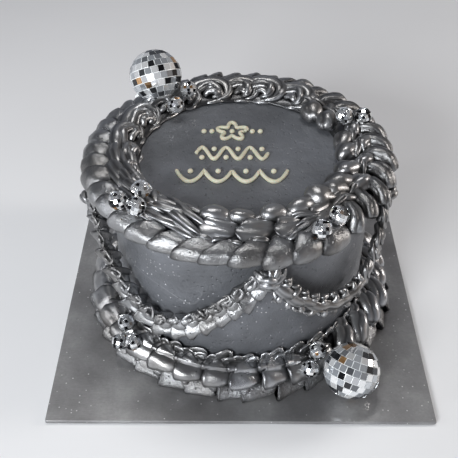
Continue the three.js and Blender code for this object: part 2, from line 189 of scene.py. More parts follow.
def closed_parts(points, groove):
    """Vertices, groove values, quads and triangles of many closed grids shaped (pieces, rows, columns, 3).

    Each grid's first and last rows are drawn together to one point. A grid that is inside out, by the
    sign of its volume, has its faces turned round.
    """
    pieces, rows, columns, _ = points.shape
    ends = points[:, [0, -1]].mean(axis=2)
    flat = np.concatenate([ends[:, :1], points[:, 1:-1].reshape(pieces, -1, 3), ends[:, 1:]], 1)
    depth = np.broadcast_to(groove, points.shape[:3])
    depth = np.concatenate([depth[:, :1, 0], depth[:, 1:-1].reshape(pieces, -1), depth[:, -1:, 0]], 1)
    quads, fans = closed_faces(rows, columns)
    corners = np.concatenate([quads[:, [0, 1, 2]], quads[:, [0, 2, 3]], fans])
    spots = flat - flat.mean(axis=1, keepdims=True)
    a, b, c = (spots[:, corners[:, k]] for k in range(3))
    volume = np.einsum("nfk,nfk->n", a, np.cross(b, c))
    offset = (flat.shape[1] * np.arange(pieces))[:, None, None]
    faces = []
    for shape in (quads, fans):
        turned = np.where((volume < 0)[:, None, None], shape[None, :, ::-1], shape[None])
        faces.append((turned + offset).reshape(-1, shape.shape[1]))
    return flat.reshape(-1, 3), depth.reshape(-1), faces[0], faces[1]


def ring_parts(points, groove):
    """Vertices, groove values and quads of one ring: a grid (rows, columns, 3) that closes both ways."""
    rows, columns, _ = points.shape
    row, column = np.meshgrid(np.arange(rows), np.arange(columns), indexing="ij")
    next_row, next_column = (row + 1) % rows, (column + 1) % columns
    quads = np.stack(
        [
            row * columns + column,
            next_row * columns + column,
            next_row * columns + next_column,
            row * columns + next_column,
        ],
        -1,
    ).reshape(-1, 4)
    flat = points.reshape(-1, 3)
    spots = flat - flat.mean(axis=0)
    a, b, c = (spots[quads[:, k]] for k in range(3))
    d = spots[quads[:, 3]]
    volume = np.einsum("fk,fk->", a, np.cross(b, c)) + np.einsum("fk,fk->", a, np.cross(c, d))
    if volume < 0:
        quads = quads[:, ::-1]
    depth = np.broadcast_to(groove, points.shape[:2]).reshape(-1)
    return flat, depth, quads, np.zeros((0, 3), int)


def build_piece(name, parts, material, nodes, smooth=True, piped=False, lowest=0.0):
    """One object from the parts' vertices and faces, riding on the cake and standing for the CAD nodes.

    A piped piece gets a hand's unevenness. Points under the lowest height are raised to it, so that
    icing is flat where it rests on something.
    """
    vertices, depths, faces, start = [], [], [], 0
    for flat, depth, quads, triangles in parts:
        vertices.append(flat)
        depths.append(depth)
        faces += (quads + start).tolist() + (triangles + start).tolist()
        start += len(flat)
    vertices = np.concatenate(vertices)
    if piped:
        vertices = handmade(vertices)
    vertices[:, 2] = np.maximum(vertices[:, 2], lowest)
    mesh = bpy.data.meshes.new(name)
    mesh.from_pydata((vertices * MM).tolist(), [], faces)
    mesh.polygons.foreach_set("use_smooth", np.full(len(faces), smooth))
    # The groove attribute paints shade into the silver icing's grooves and scale edges, and picks each mirror tile's
    # painted reflection tone.
    groove = mesh.attributes.new("groove", "FLOAT", "POINT")
    groove.data.foreach_set("value", np.concatenate(depths).astype(np.float32))
    mesh.materials.append(material)
    mesh.update()
    piece = bpy.data.objects.new(name, mesh)
    bpy.context.scene.collection.objects.link(piece)
    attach(piece, "root")
    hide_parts(*nodes)
    return piece


# piping: where along and across a scale its lip, bow and seam lie, and how wide they are
LIP_WIDTH = 0.05
BOW_WIDTH = 0.5
SEAM_PLACE = 0.86
SEAM_WIDTH = 0.09


def passing_through(count, rows):
    """Weights that carry a smooth line through count points, at rows places bunched towards both ends."""
    place = eased(rows) * (count - 1)
    first = np.clip(np.floor(place).astype(int), 0, count - 2)
    t = place - first
    cubic = np.stack([
        -0.5 * t + t**2 - 0.5 * t**3,
        1 - 2.5 * t**2 + 1.5 * t**3,
        0.5 * t + 2 * t**2 - 1.5 * t**3,
        -0.5 * t**2 + 0.5 * t**3,
    ], -1)
    weights = np.zeros((rows, count))
    for step in range(4):
        column = np.clip(first + step - 1, 0, count - 1)
        np.add.at(weights, (np.arange(rows), column), cubic[:, step])
    return weights


def ridged(ridges, groove, turn, sharpness=0.8):
    """A star tip's outline at each turn: rounded ridges with narrow grooves, and how deep each turn lies."""
    crest = np.abs(np.cos(0.5 * ridges * turn)) ** sharpness
    return 1 - groove * (1 - crest), 1 - crest


def swept(path, outward, width, height, outline, depth):
    """Closed strokes of icing: an outline carried along each path.

    A point is the path's point, plus width times the outline's cosine across the path, plus height times
    its sine away from what carries it. Widths fall to nothing at both ends.
    """
    turn = turns(outline.shape[-1])
    along = unit(np.gradient(path, axis=1))
    across = unit(np.cross(along, outward))
    up = np.cross(across, along)
    points = (
        path[:, :, None]
        + across[:, :, None] * (width[:, :, None] * (outline * np.cos(turn)))[..., None]
        + up[:, :, None] * (height[:, :, None] * (outline * np.sin(turn)))[..., None]
    )
    return closed_parts(points, depth)


def end_round(rows, square=2.0):
    """How full a stroke is along its length: nothing at both ends, full between, squarer with square."""
    far = np.abs(np.cos(np.pi * np.linspace(0, 1, rows)))
    return (1 - far**square) ** (1 / square)


def on_ring(path, angle, radius=RUFFLE_RADIUS):
    """Points and upward directions for (mm along the ring, mm outward from radius, height) round the cake."""
    spine = around_cake(radius + path[..., 1], angle[:, None] + np.degrees(path[..., 0] / radius), path[..., 2])
    return spine, pointing(spine, 2)


def strands(controls, locate, thickness, flat=1.0, taper=0.0, ridges=0, groove=0.0, rows=22, columns=12,
            square=2.0, twist=0.0):
    """Strands of icing along smooth lines through control points, set in place by locate.

    The thickness thins towards the far end by taper, flat squeezes its height against its width and
    twist turns the ridges along it.
    """
    path = np.einsum("rk,nkc->nrc", passing_through(controls.shape[1], rows), controls)
    spine, outward = locate(path)
    share = eased(rows)
    swell = end_round(rows, square) * (1 - taper * (share - 0.3))
    width = np.asarray(thickness)[:, None] * swell
    # The depth into the tip's grooves is stored on the mesh, where the silver materials paint it as shade.
    outline, depth = ridged(ridges, groove, turns(columns)[None] + twist * share[:, None])
    return swept(spine, outward, width, width * flat, outline[None], depth[None])


def scales(profile, angle, half_width, thickness, lean, step, full, fan, rounded, rows, columns, lip=(0.0, 0.8),
           bow=0.0, seam=0.0, curve=1.5, reference=96.0, locate=None):
    """Overlapping scales bent over profiles of (radius, height) points round the cake, one profile each.

    A scale's half width grows from a point at the profile's start as a rounded fan, its middle line leans
    to higher angles at the start, and its surface is lifted by step at the edge towards lower angles and
    sinks towards higher ones. Lip is a raised rim and its place along the profile, bow a dip across the
    middle, seam a raised ridge near its lower-angle edge, and rounded tells how soft its edges are. Curve
    bends its middle line. Locate may set (mm along, mm up, mm out) in place along another line than a
    circle round the cake.
    """
    weights = passing_through(profile.shape[1], rows)
    reach = profile[..., 0] @ weights.T
    height = profile[..., 1] @ weights.T
    away = unit(np.stack([-np.gradient(height, axis=1), np.gradient(reach, axis=1)], -1))[:, :, None]
    angle, half_width, thickness, lean, step, full, bow, seam, rounded = (
        np.broadcast_to(np.asarray(value, float), angle.shape)[:, None, None]
        for value in (angle, half_width, thickness, lean, step, full, bow, seam, rounded)
    )
    turn = turns(columns)
    across, up = (np.sign(wave) * np.abs(wave) ** rounded for wave in (np.cos(turn), np.sin(turn)))
    t = eased(rows)[None, :, None]
    spread = (1 - (1 - t) ** fan) ** 0.5
    end = (1 - t**full) ** 0.5
    sideways = lean * (1 - t) ** curve + half_width * spread * end * across
    rim = np.asarray(lip[0], float).reshape(-1, 1, 1) * np.exp(-(((t - lip[1]) / LIP_WIDTH) ** 2))
    rim = rim - bow * np.exp(-((across / BOW_WIDTH) ** 2)) * spread
    rim = rim + seam * np.exp(-(((across + SEAM_PLACE) / SEAM_WIDTH) ** 2)) * spread * end
    off = thickness * np.minimum(spread, end**0.7) * up - step * across + rim * np.clip(up, 0, 1)
    out, rise = reach[:, :, None] + off * away[..., 0], height[:, :, None] + off * away[..., 1]
    if locate:
        points = locate(np.stack(np.broadcast_arrays(sideways, rise, out), -1))[0]
    else:
        points = around_cake(out, angle + np.degrees(sideways / reference), rise)
    # The stored groove value rises at the scale's side edges, where the silver materials paint shade between scales.
    return closed_parts(points, smooth_step(0.6, 1.0, np.abs(across)))


def core_ring(profile, columns=240):
    """A plain ring of a closed profile round the cake, behind the piping, painted dark all over as shade in the gaps
    between strokes.
    """
    radius, height = np.array(profile).T[..., None]
    # Groove value 1 paints the whole ring in shade.
    return ring_parts(around_cake(radius, np.degrees(turns(columns))[None], height), 1.0)


def frontness(angle, sharpness=1.0):
    """1 at the front of the cake, falling to 0 at its sides."""
    return np.clip(np.cos(np.radians(angle - FRONT)), 0, 1) ** sharpness


def mixed_profiles(low, high, share):
    """A profile for each scale, between two profiles."""
    return between(np.array(low)[None], np.array(high)[None], np.asarray(share)[:, None, None])


def repeated(controls, count):
    """The same control points for a number of pieces."""
    return np.array(controls, float)[None] * np.ones((count, 1, 1))


def numbered(index, count=4, step=10):
    """Numbers for the control points of each piece, a row for each."""
    return step * index[:, None] + np.arange(count)[None]


def varied(points, number, amounts, kind):
    """Control points for each row of numbers, with small differences of these amounts along, across and up."""
    controls = repeated(points, len(number))
    for axis, amount in enumerate(amounts):
        controls[..., axis] += amount * unevenness(number, kind + axis)
    return controls


# materials
SIDE_HEIGHT = 0.118
SILVER_TONES = (
    (0.32, (0.235, 0.228, 0.222)), (0.5, (0.33, 0.33, 0.334)), (0.68, (0.44, 0.449, 0.466)),
)


def add_node(tree, kind, inputs=None, **settings):
    """A shader node with its settings and its inputs, each a plain value or another node's output."""
    node = tree.nodes.new(kind)
    for key, value in settings.items():
        setattr(node, key, value)
    for key, value in (inputs or {}).items():
        if isinstance(value, bpy.types.NodeSocket):
            tree.links.new(value, node.inputs[key])
        else:
            node.inputs[key].default_value = value
    return node


def product(tree, first, second):
    """Two values multiplied."""
    return add_node(tree, "ShaderNodeMath", {0: first, 1: second}, operation="MULTIPLY").outputs[0]


def added(tree, value, factor, base):
    """A value times a factor, added to a base."""
    return add_node(tree, "ShaderNodeMath", {0: value, 1: factor, 2: base}, operation="MULTIPLY_ADD").outputs[0]


def scaled(tree, value, low, high, start=0.0, end=1.0):
    """A value from start..end carried to low..high."""
    return add_node(tree, "ShaderNodeMapRange", {
        "Value": value, "From Min": start, "From Max": end, "To Min": low, "To Max": high,
    }).outputs[0]


def grain_group():
    """Fine grain and pits: a height for the surface, a mask of its pits and slow patches of tone."""
    group = bpy.data.node_groups.new("icing_grain", "ShaderNodeTree")
    face = group.interface
    face.new_socket("Place", in_out="INPUT", socket_type="NodeSocketVector")
    for name, value in (("Grain", 900.0), ("Pits", 260.0), ("Pit size", 0.16), ("Pit share", 0.3), ("Patches", 30.0)):
        socket = face.new_socket(name, in_out="INPUT", socket_type="NodeSocketFloat")
        socket.default_value = value
    for name in ("Height", "Pit", "Patch"):
        face.new_socket(name, in_out="OUTPUT", socket_type="NodeSocketFloat")
    start = add_node(group, "NodeGroupInput")
    fine, slow, cells = (
        add_node(group, kind, {"Vector": start.outputs["Place"], "Scale": start.outputs[scale], **values})
        for kind, scale, values in (
            ("ShaderNodeTexNoise", "Grain", {"Detail": 4.0, "Roughness": 0.6}),
            ("ShaderNodeTexNoise", "Patches", {"Detail": 3.0, "Roughness": 0.55}),
            ("ShaderNodeTexVoronoi", "Pits", {"Randomness": 1.0}),
        )
    )
    drawn = add_node(group, "ShaderNodeSeparateColor", {0: cells.outputs["Color"]})
    chosen = add_node(
        group, "ShaderNodeMath", {0: drawn.outputs[0], 1: start.outputs["Pit share"]}, operation="LESS_THAN",
    )
    hollow = add_node(group, "ShaderNodeMapRange", {
        "Value": cells.outputs["Distance"], "From Max": start.outputs["Pit size"], "To Min": 1.0, "To Max": 0.0,
    }, interpolation_type="SMOOTHSTEP")
    pit = product(group, chosen.outputs[0], hollow.outputs[0])
    height = added(group, pit, -1.6, fine.outputs[0])
    add_node(group, "NodeGroupOutput", {"Height": height, "Pit": pit, "Patch": slow.outputs[0]})


def start_material(name, constants):
    """A material with a Principled shader and its constants set, its tree and Object coordinates."""
    material = bpy.data.materials.new(name)
    material.use_nodes = True
    tree = material.node_tree
    for key, value in constants.items():
        tree.nodes["Principled BSDF"].inputs[key].default_value = value
    return material, tree, add_node(tree, "ShaderNodeTexCoord").outputs["Object"]


def placed_grain(tree, place, **values):
    """The outputs of the grain group in a material, with its own values."""
    inputs = {key.replace("_", " "): value for key, value in values.items()}
    group = bpy.data.node_groups["icing_grain"]
    return add_node(tree, "ShaderNodeGroup", {"Place": place, **inputs}, node_tree=group).outputs


def tone_ramp(tree, value, stops):
    """Colours along a value."""
    ramp = add_node(tree, "ShaderNodeValToRGB", {0: value})
    while len(ramp.color_ramp.elements) < len(stops):
        ramp.color_ramp.elements.new(0.5)
    for element, (place, color) in zip(ramp.color_ramp.elements, stops):
        element.position = place
        element.color = (*color, 1.0)
    return ramp.outputs[0]


def mixed(tree, factor, first, second, blend="MIX"):
    """Two colours mixed by a factor; each may be an output or a plain colour."""
    inputs = {
        key: (*value, 1.0) if isinstance(value, tuple) else value
        for key, value in ((0, factor), (6, first), (7, second))
    }
    return add_node(tree, "ShaderNodeMix", inputs, data_type="RGBA", blend_type=blend).outputs[2]


def finished(material, tone, patch, roughness, height=None, strength=0.0, distance=0.0):
    """The material with its tone, a roughness along its patches and, where a height is given, bump."""
    tree = material.node_tree
    inputs = tree.nodes["Principled BSDF"].inputs
    tree.links.new(tone, inputs["Base Color"])
    tree.links.new(scaled(tree, patch, *roughness), inputs["Roughness"])
    if height:
        bump = add_node(tree, "ShaderNodeBump", {"Strength": strength, "Distance": distance, "Height": height})
        tree.links.new(bump.outputs[0], inputs["Normal"])
    return material


def painted_shade_and_reflection_value(tree):
    """The value stored on the mesh's points: on icing how deep in a groove, where shade is painted; on tiles a value
    that picks the tile's painted reflection tone.
    """
    return add_node(tree, "ShaderNodeAttribute", attribute_name="groove").outputs["Fac"]


def silver_icing(name, roughness, bump, pits, painted_light_tone=1.0):
    """Pewter-painted icing in slow patches of tone, browner where darker, with fine pits; painted shade darkens it in
    grooves, at the edges of scales and in the pits, so ridges stand bright.
    """
    material, tree, place = start_material(name, {"Metallic": 0.9, "IOR": 1.5})
    size = 0.16 + 0.1 * pits
    grain = placed_grain(tree, place, Grain=1300.0, Pits=300.0, Pit_size=size, Pit_share=pits, Patches=30.0)
    # The last factor makes this copy of the one pewter paint brighter or darker to match how lit its part looks:
    # painted light and shade.
    stops = [(stop, tuple(painted_light_tone * part for part in tone)) for stop, tone in SILVER_TONES]
    patches = tone_ramp(tree, grain["Patch"], stops)
    # Painted shade: the stored groove value darkens grooves, scale edges and the rings behind the piping towards near
    # black.
    shaded = mixed(tree, scaled(tree, painted_shade_and_reflection_value(tree), 0.0, 0.85), patches, (0.05, 0.05, 0.053))
    # Painted shade in the pits: they are coloured near black.
    pits_shaded = mixed(tree, grain["Pit"], shaded, (0.04, 0.04, 0.042))
    lumps = placed_grain(tree, place, Grain=420.0, Pits=520.0, Pit_size=0.2, Pit_share=pits, Patches=90.0)
    height = added(tree, lumps["Height"], 1.6, grain["Height"])
    return finished(material, pits_shaded, grain["Patch"], roughness, height, bump, 0.0005)


def grey_icing():
    """Smooth slate icing: slow scraped patches, small pits with painted shade, pale specks and a faint satin of
    silver dust.
    """
    material, tree, place = start_material("grey_icing", {"Metallic": 0.25, "IOR": 1.45})
    height = add_node(tree, "ShaderNodeSeparateXYZ", {0: place}).outputs["Z"]
    side = add_node(tree, "ShaderNodeMath", {0: height, 1: SIDE_HEIGHT}, operation="LESS_THAN").outputs[0]
    grain = placed_grain(tree, place, Grain=420.0, Pits=300.0, Pit_size=0.24, Pit_share=0.34, Patches=22.0)
    patches = tone_ramp(tree, grain["Patch"], [
        (0.34, (0.108, 0.113, 0.123)), (0.5, (0.138, 0.144, 0.157)), (0.66, (0.174, 0.182, 0.2)),
    ])
    # Painted shade in the pits: they are coloured near black.
    pits_shaded = mixed(tree, scaled(tree, grain["Pit"], 0.0, 0.8), patches, (0.03, 0.03, 0.034))
    specks = placed_grain(tree, place, Grain=110.0, Pits=330.0, Pit_size=0.3, Pit_share=0.32, Patches=90.0)
    zones = scaled(tree, grain["Patch"], 0.0, 1.0, 0.44, 0.58)
    bright = product(tree, product(tree, specks["Pit"], zones), scaled(tree, side, 0.25, 1.0))
    dusted = mixed(tree, bright, pits_shaded, (0.74, 0.74, 0.77))
    swirl = add_node(tree, "ShaderNodeTexNoise", {"Vector": place, "Scale": 13.0, "Detail": 0.0})
    scratch = add_node(tree, "ShaderNodeMath", {0: swirl.outputs[0], 1: 0.43, 2: 0.0016}, operation="COMPARE")
    broken = product(tree, product(tree, scratch.outputs[0], side), zones)
    scratched = mixed(tree, scaled(tree, broken, 0.0, 0.36), dusted, (0.34, 0.345, 0.36))
    lumpy = added(tree, specks["Height"], 2.2, grain["Height"])
    return finished(material, scratched, grain["Patch"], (0.46, 0.3), lumpy, 0.5, 0.0007)


def foil():
    """Dull silver foil over card: fine specks painted bright as glints, faint drawn lines along the sheet and slow
    smudges.
    """
    material, tree, place = start_material("foil_board", {"Metallic": 0.6})
    stretch = add_node(tree, "ShaderNodeMapping", {"Vector": place, "Scale": (0.12, 1.0, 1.0)})
    lines = placed_grain(tree, stretch.outputs[0], Grain=1400.0, Pits=300.0, Pit_size=0.05, Patches=60.0)
    smudges = placed_grain(tree, place, Grain=900.0, Pits=260.0, Pit_size=0.18, Pit_share=0.4, Patches=16.0)
    tone = tone_ramp(tree, smudges["Patch"], [
        (0.38, (0.25, 0.246, 0.25)), (0.5, (0.35, 0.348, 0.352)), (0.6, (0.46, 0.458, 0.46)),
    ])
    grains = placed_grain(tree, place, Grain=500.0, Pits=260.0, Pit_size=0.05, Patches=520.0)
    mottled = mixed(tree, scaled(tree, grains["Patch"], 0.05, 0.5), tone, (0.12, 0.12, 0.122))
    # Painted glints: fine specks coloured near white.
    glint_speckled = mixed(tree, smudges["Pit"], mottled, (0.95, 0.95, 0.96))
    return finished(material, glint_speckled, smudges["Patch"], (0.5, 0.34), lines["Height"], 0.3, 0.0004)


def mirror_glass(name, roughness, metallic, stops):
    """Small mirror tiles: each painted with its own tone of reflection from the stops, lightly smeared."""
    material, tree, place = start_material(name, {"Metallic": metallic, "IOR": 1.6})
    grain = placed_grain(tree, place, Grain=300.0, Pits=500.0, Pit_size=0.05, Patches=160.0)
    tone = tone_ramp(tree, painted_shade_and_reflection_value(tree), stops)
    smeared = mixed(tree, scaled(tree, grain["Patch"], 0.0, 0.25), tone, (0.6, 0.6, 0.6), "MULTIPLY")
    return finished(material, smeared, grain["Patch"], roughness, grain["Height"], 0.03, 0.0002)


def even_surface(name, constants, grain_values, dark, light, roughness, bump=None):
    """A nearly even material: two close tones in slow patches, and fine grain where bump is given."""
    material, tree, place = start_material(name, constants)
    grain = placed_grain(tree, place, **grain_values)
    tone = tone_ramp(tree, grain["Patch"], [(0.3, dark), (0.7, light)])
    height = (grain["Height"], *bump) if bump else ()
    return finished(material, tone, grain["Patch"], roughness, *height)


# board and body
def board_piece(material):
    """The board: rings of a square with small round corners, from the middle of the top over a folded edge
    to the underside."""
    half, corner = 0.5 * BOARD_SIDE, 1.5
    bend = np.radians(np.linspace(0, 90, 6))
    side = np.linspace(-1, 1, 40)[1:-1] * (half - corner)
    x = np.concatenate([half - corner + corner * np.cos(bend), side[::-1]])
    y = np.concatenate([half - corner + corner * np.sin(bend), np.full(len(side), half)])
    outline = np.concatenate([
        np.stack([x * c - y * s, x * s + y * c], -1) for c, s in ((1, 0), (0, 1), (-1, 0), (0, -1))
    ])
    edge = np.radians(np.linspace(90, -90, 9))
    inner = np.concatenate([[0.0, 0.004, 0.012, 0.03], np.linspace(0.06, 1, 26)]) * (1 - 0.5 / half)
    shares = np.concatenate([inner, 1 - 0.5 / half * (1 - np.cos(edge)), inner[::-1]])
    rise = np.concatenate([
        np.full(len(inner), BOARD_TOP), 0.5 * BOARD_TOP * (1 + np.sin(edge)), np.zeros(len(inner)),
    ])
    points = np.concatenate([
        shares[:, None, None] * outline[None], np.broadcast_to(rise[:, None, None], (len(rise), len(outline), 1)),
    ], -1)
    reach = np.abs(points[..., :2]).max(axis=-1)
    top = (rise > 0.5 * BOARD_TOP)[:, None] * smooth_step(95, 124, reach)
    points[..., 2] -= 0.14 * top * (1 + ripple(points, 40.0, 0.4))
    return build_piece("foil_board", [closed_parts(points[None], 0.0)], material, ["cake_board"])


def body_piece(material):
    """The iced body: a drum's profile turned round the axis, dented a little where the knife passed."""
    under = np.linspace(0, BODY_RADIUS, 12)
    side = np.linspace(BOARD_TOP, BODY_TOP - BODY_EDGE, 70)[1:-1]
    corner = np.radians(np.linspace(0, 90, 9))
    top = np.linspace(BODY_RADIUS - BODY_EDGE, 0, 46)[1:]
    radius = np.concatenate([
        under, np.full(len(side), BODY_RADIUS), BODY_RADIUS - BODY_EDGE * (1 - np.cos(corner)), top,
    ])
    height = np.concatenate([
        np.full(len(under), BOARD_TOP), side, BODY_TOP - BODY_EDGE * (1 - np.sin(corner)),
        np.full(len(top), BODY_TOP),
    ])
    points = around_cake(radius[:, None], np.linspace(0, 360, 300, endpoint=False)[None], height[:, None])
    bands = ripple(points * np.array([0.35, 0.35, 1.0]), 11.0, 0.9)
    slow = ripple(points, 34.0, 2.3)
    dent = 0.22 * (bands - 1) + 0.3 * (slow - 1)
    on_side = ((height > BOARD_TOP + 1) & (height < BODY_TOP - 2))[:, None]
    on_top = (height > BODY_TOP - 0.5)[:, None] * smooth_step(0, 20, radius)[:, None]
    points = points + outward_at(points) * (dent * on_side)[..., None]
    points[..., 2] += 0.6 * dent * on_top
    return build_piece("grey_body", [closed_parts(points[None], 0.0)], material, ["cake_body"])


# cream ornament on the top
ORNAMENT_X = -6.0
LINE_RADIUS = 1.35
DOT_RADIUS = 1.9


def piped_line(x, y, closed=False):
    """A round cream line on the body's top along x and y, a little thicker at its two ends."""
    rows = len(x)
    path = np.stack([ORNAMENT_X + x, y, np.full(rows, BODY_TOP + 0.5 * LINE_RADIUS)], -1)[None]
    share = np.linspace(0, 1, rows)
    blob = 0.0 if closed else 0.35 * sum(np.exp(-((off / 0.025) ** 2)) for off in (share, 1 - share))
    uneven = 1 + blob + 0.06 * np.sin(37 * share) + 0.04 * np.sin(91 * share)
    width = (LINE_RADIUS * uneven * end_round(rows, 12.0))[None]
    return swept(path, pointing(path, 2), width, width, np.ones(14), 0.0)


def bunched(count):
    """Shares from 0 to 1, close together at both ends."""
    straight = np.linspace(0, 1, count)
    return straight - 0.9 * np.sin(2 * np.pi * straight) / (2 * np.pi)


def piped_dots(x, y):
    """Round cream dots with a small peak, set on the body's top."""
    share = eased(12)
    height = BODY_TOP - 0.6 + share[None] * 1.5 * DOT_RADIUS
    path = np.stack(np.broadcast_arrays(ORNAMENT_X + x[:, None], y[:, None], height), -1)
    swell = DOT_RADIUS * end_round(len(share), 2.4) * (1.08 - 0.25 * share)
    width = np.broadcast_to(swell, path.shape[:2])
    return swept(path, pointing(path, 0), width, width, np.ones(16), 0.0)


def ornament_piece(material):
    """A five-petalled blossom, a wave and a hanging garland of cream lines, with dots."""
    turn = 2 * np.pi * bunched(140)
    reach = 8.2 + 2.6 * np.cos(5 * (turn - 0.5 * np.pi))
    parts = [piped_line(reach * np.cos(turn), 26 + reach * np.sin(turn), closed=True)]
    share = bunched(140)
    parts.append(piped_line(48 * (share - 0.5), 6.4 * np.sin(6 * np.pi * share)))
    hang = np.abs(np.sin(4 * np.pi * share)) ** 0.8
    parts.append(piped_line(72 * (share - 0.5), -19 - 12 * hang))
    beside = np.array([0.0, -14, 14, -19.5, 19.5])
    parts.append(piped_dots(beside, np.full(5, 26.0)))
    step = (np.arange(6) + 0.5) / 6
    parts.append(piped_dots(48 * (step - 0.5), np.where(np.arange(6) % 2 == 0, -4.8, 4.8)))
    arc = (np.arange(4) + 0.5) / 4
    parts.append(piped_dots(72 * (arc - 0.5), np.full(4, -20.0)))
    return build_piece("cream_ornament", parts, material, ["cake_body"])


# top border
def outer_border(material):
    """Scales over the cake's top edge: broad and stepped at the front and left, small rounded bumps at the
    back and long fluted fingers with dark gaps at the right."""
    index = np.arange(SCALE_COUNT)
    share = index / SCALE_COUNT
    angle = SCALE_START + 360 * share + SCALE_CROWDING * np.sin(2 * np.pi * share)
    angle = wrapped(angle) + 0.6 * unevenness(index, 21)
    fingered = (angle > -47) & (angle < 66)
    spots, number = angle[fingered], numbered(index[fingered])
    index, share, angle = (values[~fingered] for values in (index, share, angle))
    pitch = (360 / SCALE_COUNT) * (1 + np.radians(SCALE_CROWDING) * np.cos(2 * np.pi * share))
    left = sector(angle, 146, 232, 24)
    broad = sector(angle, -206, -60, 20)
    front = frontness(angle, 1.3)
    bulging = sector(angle, -88, -40, 14)
    half = 0.5 * np.radians(pitch) * SCALE_RADIUS * (1.3 + 0.07 * unevenness(index, 22))
    profile = mixed_profiles(
        [(85.8, 126.8), (90.0, 129.2), (95.6, 128.4), (100.2, 124.8), (101.6, 120.4), (99.6, 117.2), (94.5, 116.4)],
        [(86.2, 124.8), (90.2, 125.7), (94.4, 125.0), (97.6, 122.9), (98.2, 120.4), (97.0, 118.8), (93.4, 118.4)],
        front,
    )
    profile[..., 0] += (0.8 * unevenness(index, 26))[:, None] * np.linspace(0, 1, 7)
    profile[..., 1] += (0.6 * unevenness(index, 27))[:, None]
    profile[:, 2:5, 0] += (1.2 * bulging)[:, None]
    parts = [scales(
        profile, angle, half,
        thickness=between(3.4 + 1.3 * left, 2.2, front) * (1 + 0.1 * unevenness(index, 23)) + 1.6 * bulging,
        lean=half * between(0.9, 1.1 - 0.6 * bulging, front),
        step=(between(1.6, 1.5, broad) + 0.5 * left) * (1 + 0.25 * unevenness(index, 24)),
        full=between(6.0, 14.0 - 9.0 * bulging, broad), fan=3.0, lip=(0.6 * front, 0.68),
        rounded=0.62 + 0.3 * np.maximum(left, bulging), curve=3.0, rows=34, columns=36,
    )]
    controls = repeated([(7.0, -10.0, 126.4), (3.6, -4.0, 128.8), (0.0, 2.6, 127.4), (-3.6, 7.0, 121.6)], len(spots))
    controls[..., 0] += 0.6 * unevenness(number, 28)
    controls[..., 1] += 1.1 * unevenness(number[:, :1], 29) * np.array([1.0, 1.0, 1.0, 0.7])
    controls[..., 2] += 0.8 * unevenness(number, 30)
    parts.append(strands(
        controls, lambda path: on_ring(path, spots, 92.6), 5.5 + 0.6 * unevenness(number[:, 0], 25), flat=0.92,
        ridges=5, groove=0.17, rows=34, columns=48, square=4.2, twist=0.2,
    ))
    parts.append(core_ring([
        [86.9, 124.3], [88.8, 124.2], [88.8, 115.5], [93.4, 116.5], [95.0, 119.0], [94.0, 122.0], [91.0, 123.6],
        [86.9, 124.9],
    ]))
    return build_piece("outer_scales", parts, material, ["top_border_outer"], piped=True)


def nested_shells(angle, size, seed, small=False):
    """Ridged hooks, one inside another round a knob, and a thin inner rim: a hook starts low at the tail,
    runs along the outer side, turns over the head and comes back along the inner side. Small ones are
    only the inner hook, knob and rim, set further in."""
    hooks = (
        ([(23, 1.0, 125.4), (14, 6.6, 128.4), (5, 9.2, 130.8), (-4, 8.4, 131.6), (-10, 2.4, 130.6),
          (-8.6, -4.6, 127.6), (-1, -7.2, 125.6)], 5.8, 0.55, 4, 0.22),
        ([(15, 0.6, 128.0), (7, 3.2, 131.6), (0.5, 3.2, 133.0), (-4.0, -0.4, 132.4), (-2.8, -4.2, 129.8),
          (2, -5.4, 127.4)], 3.9, 0.4, 3, 0.22),
        ([(8, -2.4, 128.0), (3, -2.6, 131.0), (-1, -3.6, 131.4), (-2, -5.6, 129.0)], 2.7, 0.2, 0, 0.0),
        ([(-6, -7.0, 124.6), (-2, -8.6, 125.6), (4, -8.4, 125.2), (10, -6.0, 124.4)], 1.8, 0.5, 0, 0.0),
    )
    parts = []
    for ring, (points, thick, taper, ridges, groove) in enumerate(hooks[1:] if small else hooks):
        controls = repeated(points, len(angle))
        controls[..., :2] *= size[:, None, None]
        number = 40 * ring + numbered(seed, len(points), 7)
        controls[..., 0] += 1.1 * unevenness(number, 30)
        controls[..., 1] += 0.8 * unevenness(number, 31) - 3.4 * small
        controls[..., 2] += 0.6 * unevenness(number, 29) - 1.0 * small
        parts.append(strands(
            controls, lambda path: on_ring(path, angle), thick * size * (1 + 0.12 * unevenness(number[:, 0], 28)),
            flat=0.8, taper=taper, rows=32, columns=36 if ridges else 14, square=2.4, ridges=ridges, groove=groove,
            twist=0.8,
        ))
    return parts


def laid_out(length, reach, swing, height, stops):
    """Control points of strokes along the border, each stop (share of length, share of swing, mm up)."""
    return np.stack([
        np.stack([along * length, reach + sideways * swing, height + rise], -1) for along, sideways, rise in stops
    ], 1)


def long_strands(angle, reach, length, thickness, height, slope, square, flat, ridges, groove):
    """Long lens-shaped strokes along the border: thick in the middle, sinking at both ends."""
    stops = (-0.5, -0.5, -2.2), (-0.2, -0.25, 0.9), (0.2, 0.2, 0.6), (0.5, 0.5, -2.8)
    return strands(
        laid_out(length, reach, slope, height, stops), lambda path: on_ring(path, angle), thickness, flat=flat,
        rows=24, columns=28 if ridges else 18, square=square, ridges=ridges, groove=groove,
    )


def petals(angle, reach, length, width, height, swing, ridges, groove):
    """Teardrop shells: a full rounded head towards lower angles and a tail that sinks under the next."""
    rows, columns = 28, 36
    stops = (-0.5, -0.6, -2.4), (-0.22, -0.35, 1.2), (0.15, 0.3, 0.2), (0.5, 1.0, -4.6)
    controls = laid_out(length, reach, swing, height, stops)
    path = np.einsum("rk,nkc->nrc", passing_through(len(stops), rows), controls)
    spine, outward = on_ring(path, angle)
    share = eased(rows)
    wide = width[:, None] * (end_round(rows) * (1 - 0.55 * smooth_step(0.3, 1.0, share)))
    outline, depth = ridged(ridges, groove, turns(columns)[None] + 0.7 * share[:, None])
    return swept(spine, outward, wide, 0.9 * wide, outline[None], depth[None])


